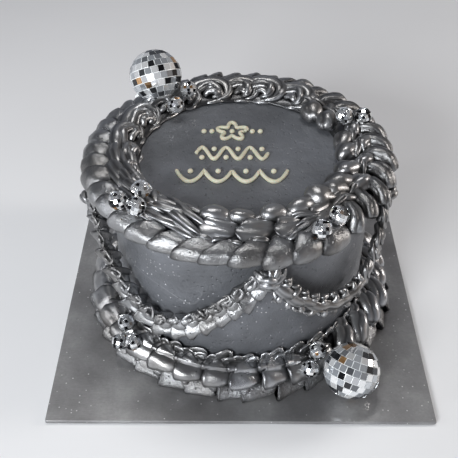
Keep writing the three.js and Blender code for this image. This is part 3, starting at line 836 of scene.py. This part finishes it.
def inner_border(material):
    """Ruffles inside the scales: ridged hooks at the back, long strands at the left and on both sides of
    the beads at the front left, smooth humps over tubes at the front and stacked lobes at the right."""
    index = np.arange(RUFFLE_COUNT)
    angle = wrapped(RUFFLE_START + 360 * (index + 0.12 * unevenness(index, 7)) / RUFFLE_COUNT)
    size = 1 + 0.09 * unevenness(index, 31)
    hooked = (angle > 50) & (angle < 168)
    far_left = (angle >= 168) | (angle < -134)
    left = (angle >= -134) & (angle < -112)
    front = (angle >= -112) & (angle < -52)
    right = (angle >= -52) & (angle <= 50)
    parts = nested_shells(angle[hooked], size[hooked], index[hooked])
    parts += nested_shells(angle[far_left], 0.8 * size[far_left], index[far_left], small=True)
    spots, seed = angle[right], index[right]
    for shift, reach, length, width, height, swing, groove in (
        (0.0, -4.8, 22.0, 8.2, 127.4, 8.5, 0.16), (7.0, 5.8, 17.0, 5.8, 127.8, 5.5, 0.16),
    ):
        parts.append(petals(
            spots + shift + 1.8 * unevenness(seed, 47 + shift), reach + 1.1 * unevenness(seed, 48 + shift),
            length * size[right], width * size[right] * (1 + 0.12 * unevenness(seed, 51 + shift)),
            height + 0.9 * unevenness(seed, 32 + shift), swing + 2.0 * unevenness(seed, 49 + shift), 4, groove,
        ))
    lanes = (
        (right, 20.0, ((3.0, 0.4, 131.0, 2.0, 2.3), (5.0, 4.0, 130.6, 1.0, 2.1))),
        (far_left, 34.0, (
            (0.0, -5.4, 128.2, -4.0, 2.6), (4.0, -2.2, 130.4, -5.5, 3.4), (8.0, 1.4, 131.4, -5.5, 3.0),
            (2.0, 4.4, 130.8, -5.5, 3.6), (6.0, 8.0, 128.8, -4.5, 3.0), (0.0, 10.4, 127.0, -3.0, 2.6),
        )),
        (left, 32.0, (
            (3.0, -9.0, 127.2, 3.0, 2.4), (1.0, -5.4, 129.6, 7.0, 3.3), (5.0, -1.4, 131.2, 9.0, 2.6),
            (3.0, 2.6, 130.8, 9.0, 3.1), (0.0, 6.2, 128.6, 8.0, 2.4), (5.0, 9.0, 126.8, 6.0, 2.4),
        )),
    )
    for chosen, length, rows in lanes:
        for k, (shift, reach, height, slope, thick) in enumerate(rows):
            spots, number = angle[chosen], 10 * index[chosen] + k
            parts.append(long_strands(
                spots + shift + 3.0 * unevenness(number, 33), reach + 0.8 * unevenness(number, 34),
                length + 5 * unevenness(number, 35), thick + 0.5 * unevenness(number, 36),
                height + 0.9 * unevenness(number, 37), slope + 2.5 * unevenness(number, 38), square=1.7,
                flat=0.75, ridges=3, groove=0.22,
            ))
    spots, seed = angle[front], index[front]
    for k, (shift, reach, height, length, thick, flat) in enumerate([
        (1.0, -8.0, 128.4, 20.0, 5.2, 0.95), (9.5, -5.6, 127.6, 10.0, 3.2, 0.9), (2.5, 8.4, 126.0, 13.0, 2.2, 0.8),
        (8.5, 8.8, 126.0, 12.0, 2.0, 0.9), (0.5, 10.4, 125.2, 9.0, 1.5, 0.9),
    ]):
        number = 10 * seed + k
        parts.append(long_strands(
            spots + shift + 2.2 * unevenness(number, 42), reach + 1.1 * unevenness(number, 43),
            length * (1 + 0.18 * unevenness(number, 44)), thick * (1 + 0.18 * unevenness(number, 45)),
            height + 0.9 * unevenness(number, 46), 3.0 * unevenness(number, 50), square=2.1, flat=flat,
            ridges=3 if k > 1 else 0, groove=0.25,
        ))
    band = np.array([
        (70.0, 126.0), (73.2, 129.8), (76.2, 130.6), (78.4, 128.8), (81.0, 128.6), (83.8, 127.4), (85.8, 124.6),
    ])[None] + 0.5 * np.stack([unevenness(seed, 53), unevenness(seed, 54)], -1)[:, None]
    parts.append(scales(
        band, spots + 6.0, 12.4 + 1.6 * unevenness(seed, 55), thickness=1.7, lean=7.0 + 3.0 * unevenness(seed, 56),
        step=1.8 + 0.6 * unevenness(seed, 57), full=4.0, fan=2.4, seam=0.4, rounded=1.0, curve=2.0, rows=36,
        columns=32, reference=78.0,
    ))
    parts.append(petals(
        np.array([-45.0, -36.0]), np.array([-7.4, -4.0]), np.array([20.0, 17.0]), np.array([9.4, 6.6]),
        np.array([128.6, 129.6]), np.array([5.0, 7.0]), 0, 0.0,
    ))
    fan = np.arange(7)
    reach = -5.0 + 2.3 * fan + 0.5 * unevenness(fan, 58)
    parts.append(long_strands(
        np.full(7, -61.0) + 1.4 * unevenness(fan, 59), reach, 24.0 + 4.0 * unevenness(fan, 60),
        1.5 + 0.3 * unevenness(fan, 61), 130.4 - 0.04 * (reach - 1.0) ** 2, 2 * (4.0 - reach), square=1.6, flat=1.1,
        ridges=2, groove=0.3,
    ))
    parts.append(core_ring([
        [67.5, 124.4], [85.0, 124.4], [84.0, 125.4], [80.5, 127.2], [76.0, 128.2], [71.5, 127.2], [68.0, 125.5],
    ]))
    return build_piece("inner_ruffles", parts, material, ["top_border_inner"], piped=True)


# bottom border
def foot_angles(shift=0.0):
    """The feet's angles round the cake, from -180 to 180, with small differences."""
    index = np.arange(FOOT_COUNT)
    return wrapped(360 * (index + shift) / FOOT_COUNT + FOOT_START + 0.6 * unevenness(index, 50))


def feet(material):
    """Squarish slabs that lean out on the board, each over the end of the one before, with small rolls
    hanging above them."""
    index = np.arange(FOOT_COUNT)
    angle = foot_angles()
    side = 1 - frontness(angle)
    half = 0.5 * np.radians(360 / FOOT_COUNT) * FOOT_RADIUS
    profile = mixed_profiles(
        [(95.0, 9.6), (99.5, 11.4), (103.0, 11.0), (105.6, 8.0), (107.4, 4.8), (105.6, 3.9), (101.0, 3.8)],
        [(95.0, 10.2), (101.0, 12.0), (106.2, 10.6), (109.0, 7.6), (110.4, 4.8), (108.2, 3.9), (102.0, 3.8)],
        side,
    )
    profile[..., 0] += (1.0 * unevenness(index, 52))[:, None] * np.linspace(0, 1, 7)
    parts = [scales(
        profile, angle, half * (1.0 + 0.14 * unevenness(index, 51)),
        thickness=1.0 + 0.9 * side, lean=4.5 * unevenness(index, 53), step=2.2 + 1.2 * unevenness(index, 55),
        full=between(30.0, 8.0, side), fan=12.0, bow=0.6 + 0.6 * unevenness(index, 56), seam=0.7,
        rounded=0.55 + 0.25 * side, rows=26, columns=36, reference=FOOT_RADIUS,
    )]
    spots = foot_angles(0.4)
    number = numbered(index)
    controls = repeated([[-1.0, -2.0, 15.4], [-0.6, 2.0, 14.0], [0.4, 3.6, 11.4], [1.0, 2.8, 8.4]], FOOT_COUNT)
    controls[..., 1] += 1.6 * side[:, None]
    controls[..., 0] += 0.8 * unevenness(number, 57)
    controls[:, 3, 2] += 1.6 * unevenness(index, 49)
    parts.append(strands(
        controls, lambda path: on_ring(path, spots, 100.4), 3.5 + 0.6 * unevenness(index, 58), square=3.0, rows=20,
        columns=20,
    ))
    parts.append(core_ring([
        [91.6, 3.1], [101.4, 3.1], [100.0, 6.0], [97.0, 10.6], [91.6, 11.8],
    ]))
    return build_piece(
        "border_feet", parts, material, ["bottom_border_feet"], piped=True, lowest=BOARD_TOP + 0.1,
    )


def saddles(material):
    """Saddles above the feet: at the front cups with a thin lip over smooth bulges and jagged flaps behind,
    at the left and back flared smooth scales with fluted leaves behind, at the right fat fluted rolls."""
    everywhere, around = np.arange(FOOT_COUNT), foot_angles(-0.5)
    rolled = (around > -54) & (around < 64)
    index, angle = everywhere[~rolled], around[~rolled]
    front = frontness(angle, 0.8)
    half = 0.5 * np.radians(360 / FOOT_COUNT) * SADDLE_RADIUS
    profile = mixed_profiles(
        [(91.0, 20.0), (94.4, 24.6), (99.0, 25.6), (103.4, 23.2), (106.2, 19.2), (107.8, 15.4), (107.8, 13.0),
         (104.6, 11.8), (99.0, 12.6)],
        [(92.0, 23.4), (97.2, 25.0), (98.0, 23.0), (98.8, 21.5), (101.6, 20.9), (104.4, 19.0), (105.5, 16.3),
         (103.8, 13.9), (98.0, 13.4)],
        front,
    )
    profile[..., 1] += (0.7 * unevenness(index, 59))[:, None]
    profile[..., 0] += (0.5 * unevenness(index, 64))[:, None]
    cup = mixed_profiles(
        [(89.6, 25.0), (92.0, 23.6), (95.0, 25.0), (98.0, 27.0), (99.0, 26.0), (96.0, 22.0)],
        [(89.4, 26.4), (92.0, 24.0), (95.4, 24.3), (98.8, 25.9), (99.6, 24.6), (96.0, 21.6)],
        front,
    )
    cup[..., 1] += (0.6 * unevenness(index, 91))[:, None]
    parts = [
        scales(
            profile, angle, half * between(1.25, 1.08, front) * (1 + 0.07 * unevenness(index, 62)),
            thickness=between(3.0, 1.9, front), lean=between(7.0, 2.0, front) + 1.2 * unevenness(index, 48),
            step=between(2.4, 2.2, front), full=between(4.0, 6.0, front), fan=6.0, lip=(0.9 * (1 - front), 0.8),
            seam=between(0.5, 0.9, front), rounded=0.95, curve=2.0, rows=38, columns=34, reference=SADDLE_RADIUS,
        ),
        scales(
            cup, angle - 0.6, half * between(0.9, 1.06, front), thickness=0.5, lean=between(6.0, 1.5, front),
            step=1.1, full=20.0, fan=12.0, bow=1.1 * front, lip=(0.5, 0.66), seam=0.8, rounded=0.6, rows=26,
            columns=28, reference=97.0,
        ),
    ]
    number = numbered(everywhere)
    flap = np.array([(-0.5, 0.6, -1.6), (-0.2, 0.0, 0.4), (0.25, -0.5, 1.8), (0.5, 0.4, -0.6)])
    for shift, reach, rise, thick, tall, length, kind in (
        (2.0, 90.6, 26.4, 0.8, 3.6, 12.0, 60), (-5.0, 91.6, 25.4, 1.0, 2.6, 9.0, 65),
        (6.0, 92.6, 25.4, 0.9, 2.2, 8.0, 90),
    ):
        spots = around + np.degrees(shift / 92)
        parts.append(strands(
            varied(flap * (length, 1, 1) + (0, 0, rise), number, (1.2, 0.7, 1.5), kind),
            lambda path: on_ring(path, spots, reach), thick * (1 + 0.3 * unevenness(everywhere, kind + 3)),
            flat=tall / thick, rows=16, columns=12, square=1.5,
        ))
    spots, number = around[rolled], numbered(everywhere[rolled])
    roll = np.array([(7.0, -9.0, 22.0), (3.5, -3.5, 24.6), (-1.0, 3.0, 21.4), (-5.0, 6.6, 14.6)])
    for shift, reach, rise, thick, length in ((0.0, 99.5, 0.0, 8.0, 1.0), (5.0, 93.5, 3.0, 4.6, 0.6)):
        parts.append(strands(
            varied(roll * (length, length, 1) + (shift, 0, rise), number, (0.9, 0.9, 0.7), 95),
            lambda path: on_ring(path, spots, reach), thick * (1 + 0.1 * unevenness(number[:, 0], 98)), flat=0.8,
            ridges=5, groove=0.2, rows=28, columns=38, square=3.0, twist=0.6,
        ))
    parts.append(core_ring([[88.9, 13.0], [96.0, 13.0], [97.0, 17.0], [94.0, 20.5], [88.9, 22.0]]))
    return build_piece("border_saddles", parts, material, ["bottom_border_saddles"], piped=True)


# swags and ties
def swag_place(index, share):
    """A swag's line from one tie to the next: its distance from the axis grows and its height rises by a
    power of the share's distance from the middle."""
    away = np.abs(2 * share - 1)
    ends = np.where(share < 0.5, TIE_RADIUS[index], TIE_RADIUS[index + 1])
    angle = between(TIE_ANGLE[index], TIE_ANGLE[index + 1], share)
    height = between(SWAG_LOW[index], SWAG_HIGH, away ** SWAG_CURVE[index])
    return around_cake(between(SWAG_RADIUS, ends, away), angle, height)


def swag_length(index):
    """Shares of a swag's line and how far along it each lies."""
    share = np.linspace(0.0, 1.0, 500)
    line = swag_place(index, share)
    run = np.concatenate([[0], np.cumsum(np.linalg.norm(np.diff(line, axis=0), axis=1))])
    return share, run


def on_swag(path, index, middle):
    """Points and outward directions for (mm along the swag from middle, mm towards its upper side, mm out)."""
    share, run = swag_length(index)
    start = middle.reshape(-1, *[1] * (path.ndim - 2))
    place = np.clip(np.interp(start + path[..., 0], run, share), 0.012, 0.988)
    spot = swag_place(index, place)
    along = unit(swag_place(index, place + 0.01) - swag_place(index, place - 0.01))
    outward = outward_at(spot)
    upper = unit(np.cross(outward, along))
    upper = upper * np.where(upper[..., 2:] < 0, -1.0, 1.0)
    return spot + upper * path[..., 1:2] + outward * path[..., 2:], outward


def swag_strands(index, middle, seed, forms, kind):
    """Strokes along a swag, one of each form at each middle: (control points in mm, thickness, flatness,
    ridges, squareness of the ends), all with a hand's differences."""
    parts = []
    for k, (points, thick, flat, ridges, square) in enumerate(forms):
        parts.append(strands(
            varied(points, numbered(seed, len(points), 9) + 100 * k, (1.3, 1.1, 0.6), kind),
            lambda path: on_swag(path, index, middle), thick * (1 + 0.16 * unevenness(seed, kind + 3 + k)),
            flat=flat, taper=0.4, ridges=ridges, groove=0.16, rows=26, columns=30 if ridges else 14, square=square,
        ))
    return parts


SHELL_FORMS = (
    ([(-8.0, 0.0, -2.6), (-3.0, -0.6, 0.2), (3.0, -0.4, 0.0), (8.0, 0.0, -2.6)], 5.4, 0.8, 0, 3.0),
    ([(-6.4, 2.2, 3.0), (-5.0, 5.8, 3.6), (-0.6, 7.4, 2.2), (4.6, 5.6, 1.0)], 1.3, 0.8, 0, 1.8),
    ([(-2.6, 3.2, 3.0), (-0.4, 4.6, 4.0), (2.4, 3.8, 3.0), (5.0, 2.2, 1.0)], 1.9, 0.9, 3, 2.2),
    ([(1.0, 2.6, 3.8), (3.4, 5.2, 3.6), (2.4, 7.6, 2.0), (-0.8, 8.0, 0.2)], 1.3, 0.7, 0, 1.6),
)
BAND_FORM = (([(-15.0, 0.2, -1.4), (-5.0, 0.0, 2.2), (5.0, -0.2, 2.2), (15.0, 0.2, -1.4)], 4.6, 0.85, 7, 2.6),)
PEAK_FORMS = (
    ([(-2.0, 2.2, 2.4), (-0.6, 4.6, 3.8), (0.6, 7.0, 2.8), (1.0, 8.8, 0.6)], 2.0, 1.0, 0, 1.6),
    ([(-2.6, 5.4, -0.6), (-0.8, 6.8, 1.4), (1.4, 6.8, 1.2), (3.6, 5.0, -0.8)], 1.9, 0.8, 0, 1.8),
)
FOLD_FORMS = (
    ([(5.0, -6.4, 0.4), (-1.0, -6.6, 2.4), (-6.0, -2.6, 3.6), (-6.0, 3.0, 3.6), (-1.0, 6.6, 2.4), (5.0, 6.2, 0.4)],
     2.2, 0.9, 3, 2.2),
    ([(6.0, -2.6, 0.6), (0.6, -3.0, 3.6), (-3.0, 0.0, 4.6), (0.6, 3.0, 3.6), (6.0, 2.4, 0.6)], 2.3, 0.9, 3, 2.2),
    ([(-4.0, 0.0, 0.4), (0.0, 0.0, 2.4), (4.0, 0.0, 2.0), (9.0, 0.0, -1.0)], 4.8, 0.7, 4, 3.0),
)


def swag_piece(index, material):
    """One swag: a chain of shells, each a broad lower lobe, an upper one and thin curled rims. The front
    right one has a smooth dark band between two rows of small peaks over its lower half and nested
    folds above."""
    run = swag_length(index)[1][-1]
    count = round(run / 11.6)
    middle = (np.arange(count) + 0.5 + 0.16 * unevenness(np.arange(count), 74 + index)) * run / count
    seed = np.arange(count) + 20 * index
    if index == 0:
        low = (middle > 0.04 * run) & (middle < 0.6 * run)
        peaks = np.arange(0.08 * run, 0.6 * run, 5.0)
        number = np.arange(len(peaks))
        parts = swag_strands(index, middle[low], seed[low], BAND_FORM, 78)
        upper = number % 2 == 0
        parts += swag_strands(index, peaks[upper], number[upper], PEAK_FORMS, 84)
        under = tuple(
            ([(x, -y, z) for x, y, z in points], thick, flat, ridges, square)
            for points, thick, flat, ridges, square in PEAK_FORMS
        )
        parts += swag_strands(index, peaks[~upper], number[~upper], under, 84)
        parts += swag_strands(index, middle[~low], seed[~low], FOLD_FORMS, 70)
    else:
        away = np.abs(2 * middle / run - 1)
        size = (1 - 0.24 * away**4) * (1 + 0.12 * unevenness(seed, 66))
        cup = np.array([
            (-5.6, 0.4), (-2.6, 2.6), (1.2, 4.8), (3.2, 5.2), (2.6, 3.4), (1.2, 1.2), (2.6, -1.0), (4.9, -3.4),
            (4.2, -6.2), (0.0, -7.2), (-5.6, -5.0),
        ])[None] * size[:, None, None]
        cup[..., 0] += 0.6 * unevenness(seed, 67)[:, None]
        cup[..., 1] *= 1 + 0.25 * unevenness(seed, 65)[:, None] * (cup[..., 1] > 3)
        parts = [scales(
            cup, middle, 0.5 * run / count * (1.16 + 0.2 * unevenness(seed, 68)), thickness=0.9,
            lean=3.6 + 2.4 * unevenness(seed, 69), step=2.2 + 1.0 * unevenness(seed, 63), full=10.0, fan=6.0,
            lip=(0.8 + 0.4 * unevenness(seed, 62), 0.8), bow=0.9 + 0.5 * unevenness(seed, 61), seam=0.8, rounded=0.8,
            curve=2.0, rows=40, columns=32, locate=lambda path: on_swag(path, index, middle),
        )]
        parts += swag_strands(index, middle, seed, SHELL_FORMS, 70)
    return build_piece(f"swag_shells_{index + 1}", parts, material, [f"swag_{index + 1}"], piped=True)


def tie_piece(index, material):
    """One tie: thin blades that spring from a ridged knob, longer and drooping on the higher-angle side."""
    blade = np.arange(13)
    number = blade + 40 * index
    way = 2 * np.pi * (blade + 0.3 * unevenness(number, 80)) / len(blade)
    length = 9.8 + 1.6 * np.cos(way + 0.6) + 2.4 * unevenness(number, 81)
    turn = 0.5 + 0.4 * unevenness(number, 82)
    share = np.array([0.1, 0.4, 0.75, 1.0])[None]
    bend = way[:, None] + turn[:, None] * share
    controls = np.stack([
        length[:, None] * share * np.cos(bend), length[:, None] * share * np.sin(bend),
        np.array([3.4, 4.6, 3.2, 0.2])[None] + 0.8 * unevenness(number[:, None] + np.arange(4)[None] * 7, 83),
    ], -1)
    knob = repeated([(-4.0, -1.6, 1.0), (-2.0, 0.6, 5.2), (1.0, 1.4, 5.6), (3.6, -0.6, 2.4)], 1)

    def locate(path):
        spot = around_cake(
            TIE_RADIUS[index] - 1.0 + path[..., 2], TIE_ANGLE[index] + np.degrees(path[..., 0] / 96),
            SWAG_HIGH - 1.6 + path[..., 1],
        )
        return spot, outward_at(spot)

    parts = [
        strands(controls, locate, 2.7 + 0.6 * unevenness(number, 79), flat=0.9, taper=0.5, ridges=3, groove=0.3,
                rows=22, columns=22, square=1.9),
        strands(knob, locate, np.array([5.2]), flat=0.9, ridges=5, groove=0.25, rows=30, columns=40, twist=2.0),
    ]
    return build_piece(
        f"swag_rosette_{index + 1}", parts, material, [f"swag_tie_{index + 1}"], piped=True,
    )


# mirror balls and beads
def tile_parts(middle, radius, rows, lean, seed, pitch):
    """Flat square tiles in rows over a ball, with narrow joints, each turned a hair out of line and given a random
    value that picks its painted reflection tone.

    A row has as many tiles as fit its circle. A tile is a slab: four outer corners on a plane that
    touches the ball at its middle and four inner ones closer in.
    """
    vertices, painted_reflection_tones, faces = [], [], []
    step = math.radians(180 / rows)
    start = 0
    slab = np.array([[0, 1, 2, 3], [4, 7, 6, 5], [0, 4, 5, 1], [1, 5, 6, 2], [2, 6, 7, 3], [3, 7, 4, 0]])
    for row in range(rows):
        up = step * (row + 0.5) - 0.5 * math.pi
        count = max(3, round(2 * rows * math.cos(up)))
        longitude = np.radians(360 * (np.arange(count) + 0.15 * (row % 2)) / count)
        out = np.stack([
            np.cos(up) * np.cos(longitude), np.cos(up) * np.sin(longitude), np.full(count, math.sin(up)),
        ], -1)
        east = np.stack([-np.sin(longitude), np.cos(longitude), np.zeros(count)], -1)
        north = np.cross(out, east)
        number = seed + 40 * row + np.arange(count)
        tilt = TILE_TILT * np.stack([unevenness(number, 80), unevenness(number, 81)], -1)
        face = unit(out + tilt[:, :1] * east + tilt[:, 1:] * north)
        half_east = math.pi * math.cos(up) / count * radius * TILE_SHARE
        half_north = 0.5 * step * radius * TILE_SHARE
        widest = math.cos(abs(up) - step / 2) / math.cos(up)
        reach = radius * (0.982 - 0.03 * (widest - 1))
        corners = []
        for level, shrink in ((1.0, 1.0), TILE_INNER):
            for a, b in ((-1, -1), (1, -1), (1, 1), (-1, 1)):
                narrow = math.cos(up + b * step / 2) / math.cos(up)
                spot = out * reach + east * a * half_east * shrink * narrow + north * b * half_north * shrink
                spot = spot - face * np.einsum("nk,nk->n", spot - out * reach, face)[:, None]
                corners.append(spot - face * radius * (1 - level))
        vertices.append(np.stack(corners, 1).reshape(-1, 3))
        # Each tile's random value picks a painted reflection tone, from white through grey to black.
        painted_reflection_tones.append(np.repeat(np.abs(unevenness(number, 82)), 8))
        faces.append((slab[None] + start + 8 * np.arange(count)[:, None, None]).reshape(-1, 4))
        start += 8 * count
    vertices = np.concatenate(vertices)
    for first, second, degrees in ((1, 2, -pitch), (2, 0, -lean)):
        cosine, sine = math.cos(math.radians(degrees)), math.sin(math.radians(degrees))
        turn = np.array([[cosine, sine], [-sine, cosine]])
        vertices[:, [first, second]] = vertices[:, [first, second]] @ turn
    return vertices + middle, np.concatenate(painted_reflection_tones), np.concatenate(faces), np.zeros((0, 3), int)


def ball_core(middle, radius, rows, columns):
    """The plain round core inside the tiles."""
    turn = np.pi * np.linspace(0, 1, rows)[:, None]
    around = turns(columns)[None]
    points = np.stack(np.broadcast_arrays(
        np.sin(turn) * np.cos(around), np.sin(turn) * np.sin(around), np.cos(turn),
    ), -1)
    return closed_parts((middle + radius * points)[None], 0.2)


def ball_piece(name, place, seed, material, core_material):
    """A mirror ball: tiles over a pale core, and on the top one the pick that holds it."""
    middle = around_cake(*place)
    tiles = tile_parts(middle, BALL_RADIUS, BALL_ROWS, BALL_LEAN[name], seed, BALL_PITCH)
    build_piece(f"{name}_tiles", [tiles], material, [name], smooth=False)
    core = [ball_core(middle, 0.968 * BALL_RADIUS, 40, 64)]
    if name == "mirror_ball_top":
        share = eased(14)
        slant = math.radians(40)
        way = np.array([-math.sin(slant), 0.0, -math.cos(slant)])
        path = (middle + way * (BALL_RADIUS - 2 + 7 * share[:, None]))[None]
        width = (PICK_RADIUS * end_round(len(share), 8.0))[None]
        core.append(swept(path, pointing(path, 1, -1.0), width, width, np.ones(16), 0.0))
    build_piece(f"{name}_core", core, core_material, [name])


def bead_pieces(material):
    """Small faceted beads, one object each."""
    for number, place in enumerate(BEADS, 1):
        middle = around_cake(*place)
        lean, pitch, seed = 23 * number % 60 - 30, 9 * number % 50, 1300 + 331 * number
        tiles = tile_parts(middle, BEAD_RADIUS, BEAD_ROWS, lean, seed, pitch)
        core = ball_core(middle, 0.955 * BEAD_RADIUS, 12, 18)
        name = f"bead_{number:02d}"
        build_piece(f"faceted_{name}", [tiles, core], material, [name], smooth=False)


# stage, light and camera
def stage_floor(material):
    """A wide flat table top under the board."""
    mesh = bpy.data.meshes.new("table_top")
    mesh.from_pydata([(x, y, -0.0003) for x, y in ((-3, -2), (3, -2), (3, 4), (-3, 4))], [], [(0, 1, 2, 3)])
    mesh.materials.append(material)
    table = bpy.data.objects.new("table_top", mesh)
    bpy.context.scene.collection.objects.link(table)


def aimed(place, target):
    """The turn that points an object's -Z from place to target."""
    return (Vector(target) - Vector(place)).to_track_quat("-Z", "Y").to_euler()


def add_light(name, place, target, size, power, color):
    """A soft square lamp."""
    lamp = bpy.data.lights.new(name, "AREA")
    lamp.shape = "RECTANGLE"
    lamp.size, lamp.size_y = size
    lamp.energy = power
    lamp.color = color
    holder = bpy.data.objects.new(name, lamp)
    holder.location = place
    holder.rotation_euler = aimed(place, target)
    bpy.context.scene.collection.objects.link(holder)


def studio():
    """A grey room, darker above and behind the camera, with a soft key from the upper left."""
    scene = bpy.context.scene
    world = bpy.data.worlds.new("room")
    world.use_nodes = True
    scene.world = world
    tree = world.node_tree
    place = add_node(tree, "ShaderNodeTexCoord").outputs["Generated"]
    split = add_node(tree, "ShaderNodeSeparateXYZ", {0: place})
    shade = tone_ramp(tree, scaled(tree, split.outputs["Z"], 0.0, 1.0), [
        (0.0, (0.42, 0.42, 0.43)), (0.3, (0.3, 0.3, 0.31)), (0.6, (0.11, 0.11, 0.12)), (1.0, (0.06, 0.06, 0.065)),
    ])
    tint = tone_ramp(tree, scaled(tree, split.outputs["X"], 0.0, 1.0, -1.0), [
        (0.1, (0.38, 0.41, 0.47)), (0.34, (0.68, 0.72, 0.81)), (0.5, (0.93, 0.98, 1.1)), (0.8, (1.0, 1.0, 1.0)),
        (0.95, (1.0, 0.82, 0.68)),
    ])
    tree.links.new(mixed(tree, 1.0, shade, tint, "MULTIPLY"), tree.nodes["Background"].inputs["Color"])
    add_light("window", (-0.72, -1.2, 0.75), (0, 0, 0.08), (0.6, 0.5), 22.0, (0.96, 0.985, 1.0))
    add_light("ceiling", (-0.1, 0.3, 1.3), (0, 0, 0.1), (0.6, 0.16), 5.0, (1.0, 0.99, 0.97))
    add_light("strip", (-1.1, -0.3, 0.35), (0, 0, 0.06), (0.06, 0.4), 2.1, (0.96, 0.97, 1.0))
    add_light("side", (1.15, 0.1, 0.5), (0, 0, 0.1), (0.18, 0.34), 5.2, (1.0, 0.955, 0.91))
    scene.view_settings.view_transform = "Standard"


def photo_camera():
    """A camera at the height and distance the cake is seen from, looking down at 41 degrees."""
    data = bpy.data.cameras.new("camera")
    focal_pixels, picture_pixels = 770.5, 458
    data.sensor_width = 36.0
    data.lens = data.sensor_width * focal_pixels / picture_pixels
    data.clip_start, data.clip_end = 0.01, 20.0
    camera = bpy.data.objects.new("camera", data)
    camera.location = (-0.0061, -0.4211, 0.4239)
    camera.rotation_euler = aimed(camera.location, (-0.008388, 0.066215, 0.0))
    bpy.context.scene.collection.objects.link(camera)
    bpy.context.scene.camera = camera


photo_camera()
grain_group()
# Copies of one pewter paint: they differ in roughness, bump and pits, and their last factor paints the outer scales
# darker and the saddles brighter, as painted shade and painted light.
SILVER = silver_icing("silver_icing", (0.4, 0.26), 0.2, 0.2)
SATIN = silver_icing("satin_silver_icing", (0.4, 0.26), 0.5, 0.6, 0.94)
DULL_SHADED = silver_icing("dull_shaded_silver_icing", (0.37, 0.23), 0.46, 0.6, 0.8)
GLOSS_LIT = silver_icing("glossy_lit_silver_icing", (0.37, 0.23), 0.24, 0.4, 1.14)
ROUGH = silver_icing("rough_silver_icing", (0.37, 0.23), 0.9, 0.8, 1.0)
board_piece(foil())
body_piece(grey_icing())
ornament_piece(even_surface(
    "cream_icing", {"IOR": 1.45, "Subsurface Weight": 0.15, "Subsurface Scale": 0.001},
    {"Grain": 700.0, "Pits": 300.0, "Pit_size": 0.06, "Patches": 60.0},
    (0.52, 0.5, 0.38), (0.62, 0.6, 0.47), (0.5, 0.38), (0.15, 0.0004),
))
outer_border(DULL_SHADED)
inner_border(SILVER)
feet(ROUGH)
saddles(GLOSS_LIT)
for swag in range(SWAG_COUNT):
    swag_piece(swag, SATIN if swag else SILVER)
    tie_piece(swag, SILVER)
# Tile tones from white through grey and black to a little orange: painted reflections of the room.
TILES = mirror_glass("mirror_tiles", (0.02, 0.07), 0.6, [
    (0.0, (1.0, 1.0, 1.0)), (0.3, (0.97, 0.98, 0.99)), (0.42, (0.62, 0.65, 0.68)), (0.7, (0.42, 0.44, 0.47)),
    (0.79, (0.1, 0.105, 0.115)), (0.94, (0.01, 0.01, 0.012)), (0.955, (0.45, 0.25, 0.1)), (0.97, (0.8, 0.82, 0.84)),
])
CORE = even_surface(
    "pale_core", {"Metallic": 0.1, "IOR": 1.5}, {"Grain": 800.0, "Pits": 400.0, "Pit_size": 0.05, "Patches": 120.0},
    (0.86, 0.88, 0.88), (0.96, 0.98, 0.98), (0.4, 0.28), (0.1, 0.0003),
)
ball_piece("mirror_ball_top", TOP_BALL, 500, TILES, CORE)
ball_piece("mirror_ball_board", BOARD_BALL, 900, TILES, CORE)
# Bead facets in white, grey, black and a little orange: painted reflections of the room.
bead_pieces(mirror_glass("bead_chrome", (0.03, 0.08), 0.8, [
    (0.0, (1.0, 1.0, 1.0)), (0.42, (0.95, 0.96, 0.97)), (0.5, (0.42, 0.44, 0.46)), (0.58, (0.02, 0.02, 0.024)),
    (0.8, (0.01, 0.01, 0.012)), (0.84, (0.85, 0.87, 0.89)), (0.975, (0.9, 0.92, 0.94)), (0.985, (0.5, 0.26, 0.09)),
]))
stage_floor(even_surface(
    "table_top", {"IOR": 1.4}, {"Grain": 120.0, "Pits": 40.0, "Pit_size": 0.02, "Patches": 3.0},
    (0.77, 0.775, 0.79), (0.81, 0.815, 0.83), (0.6, 0.5),
))
studio()

bpy.context.view_layer.update()
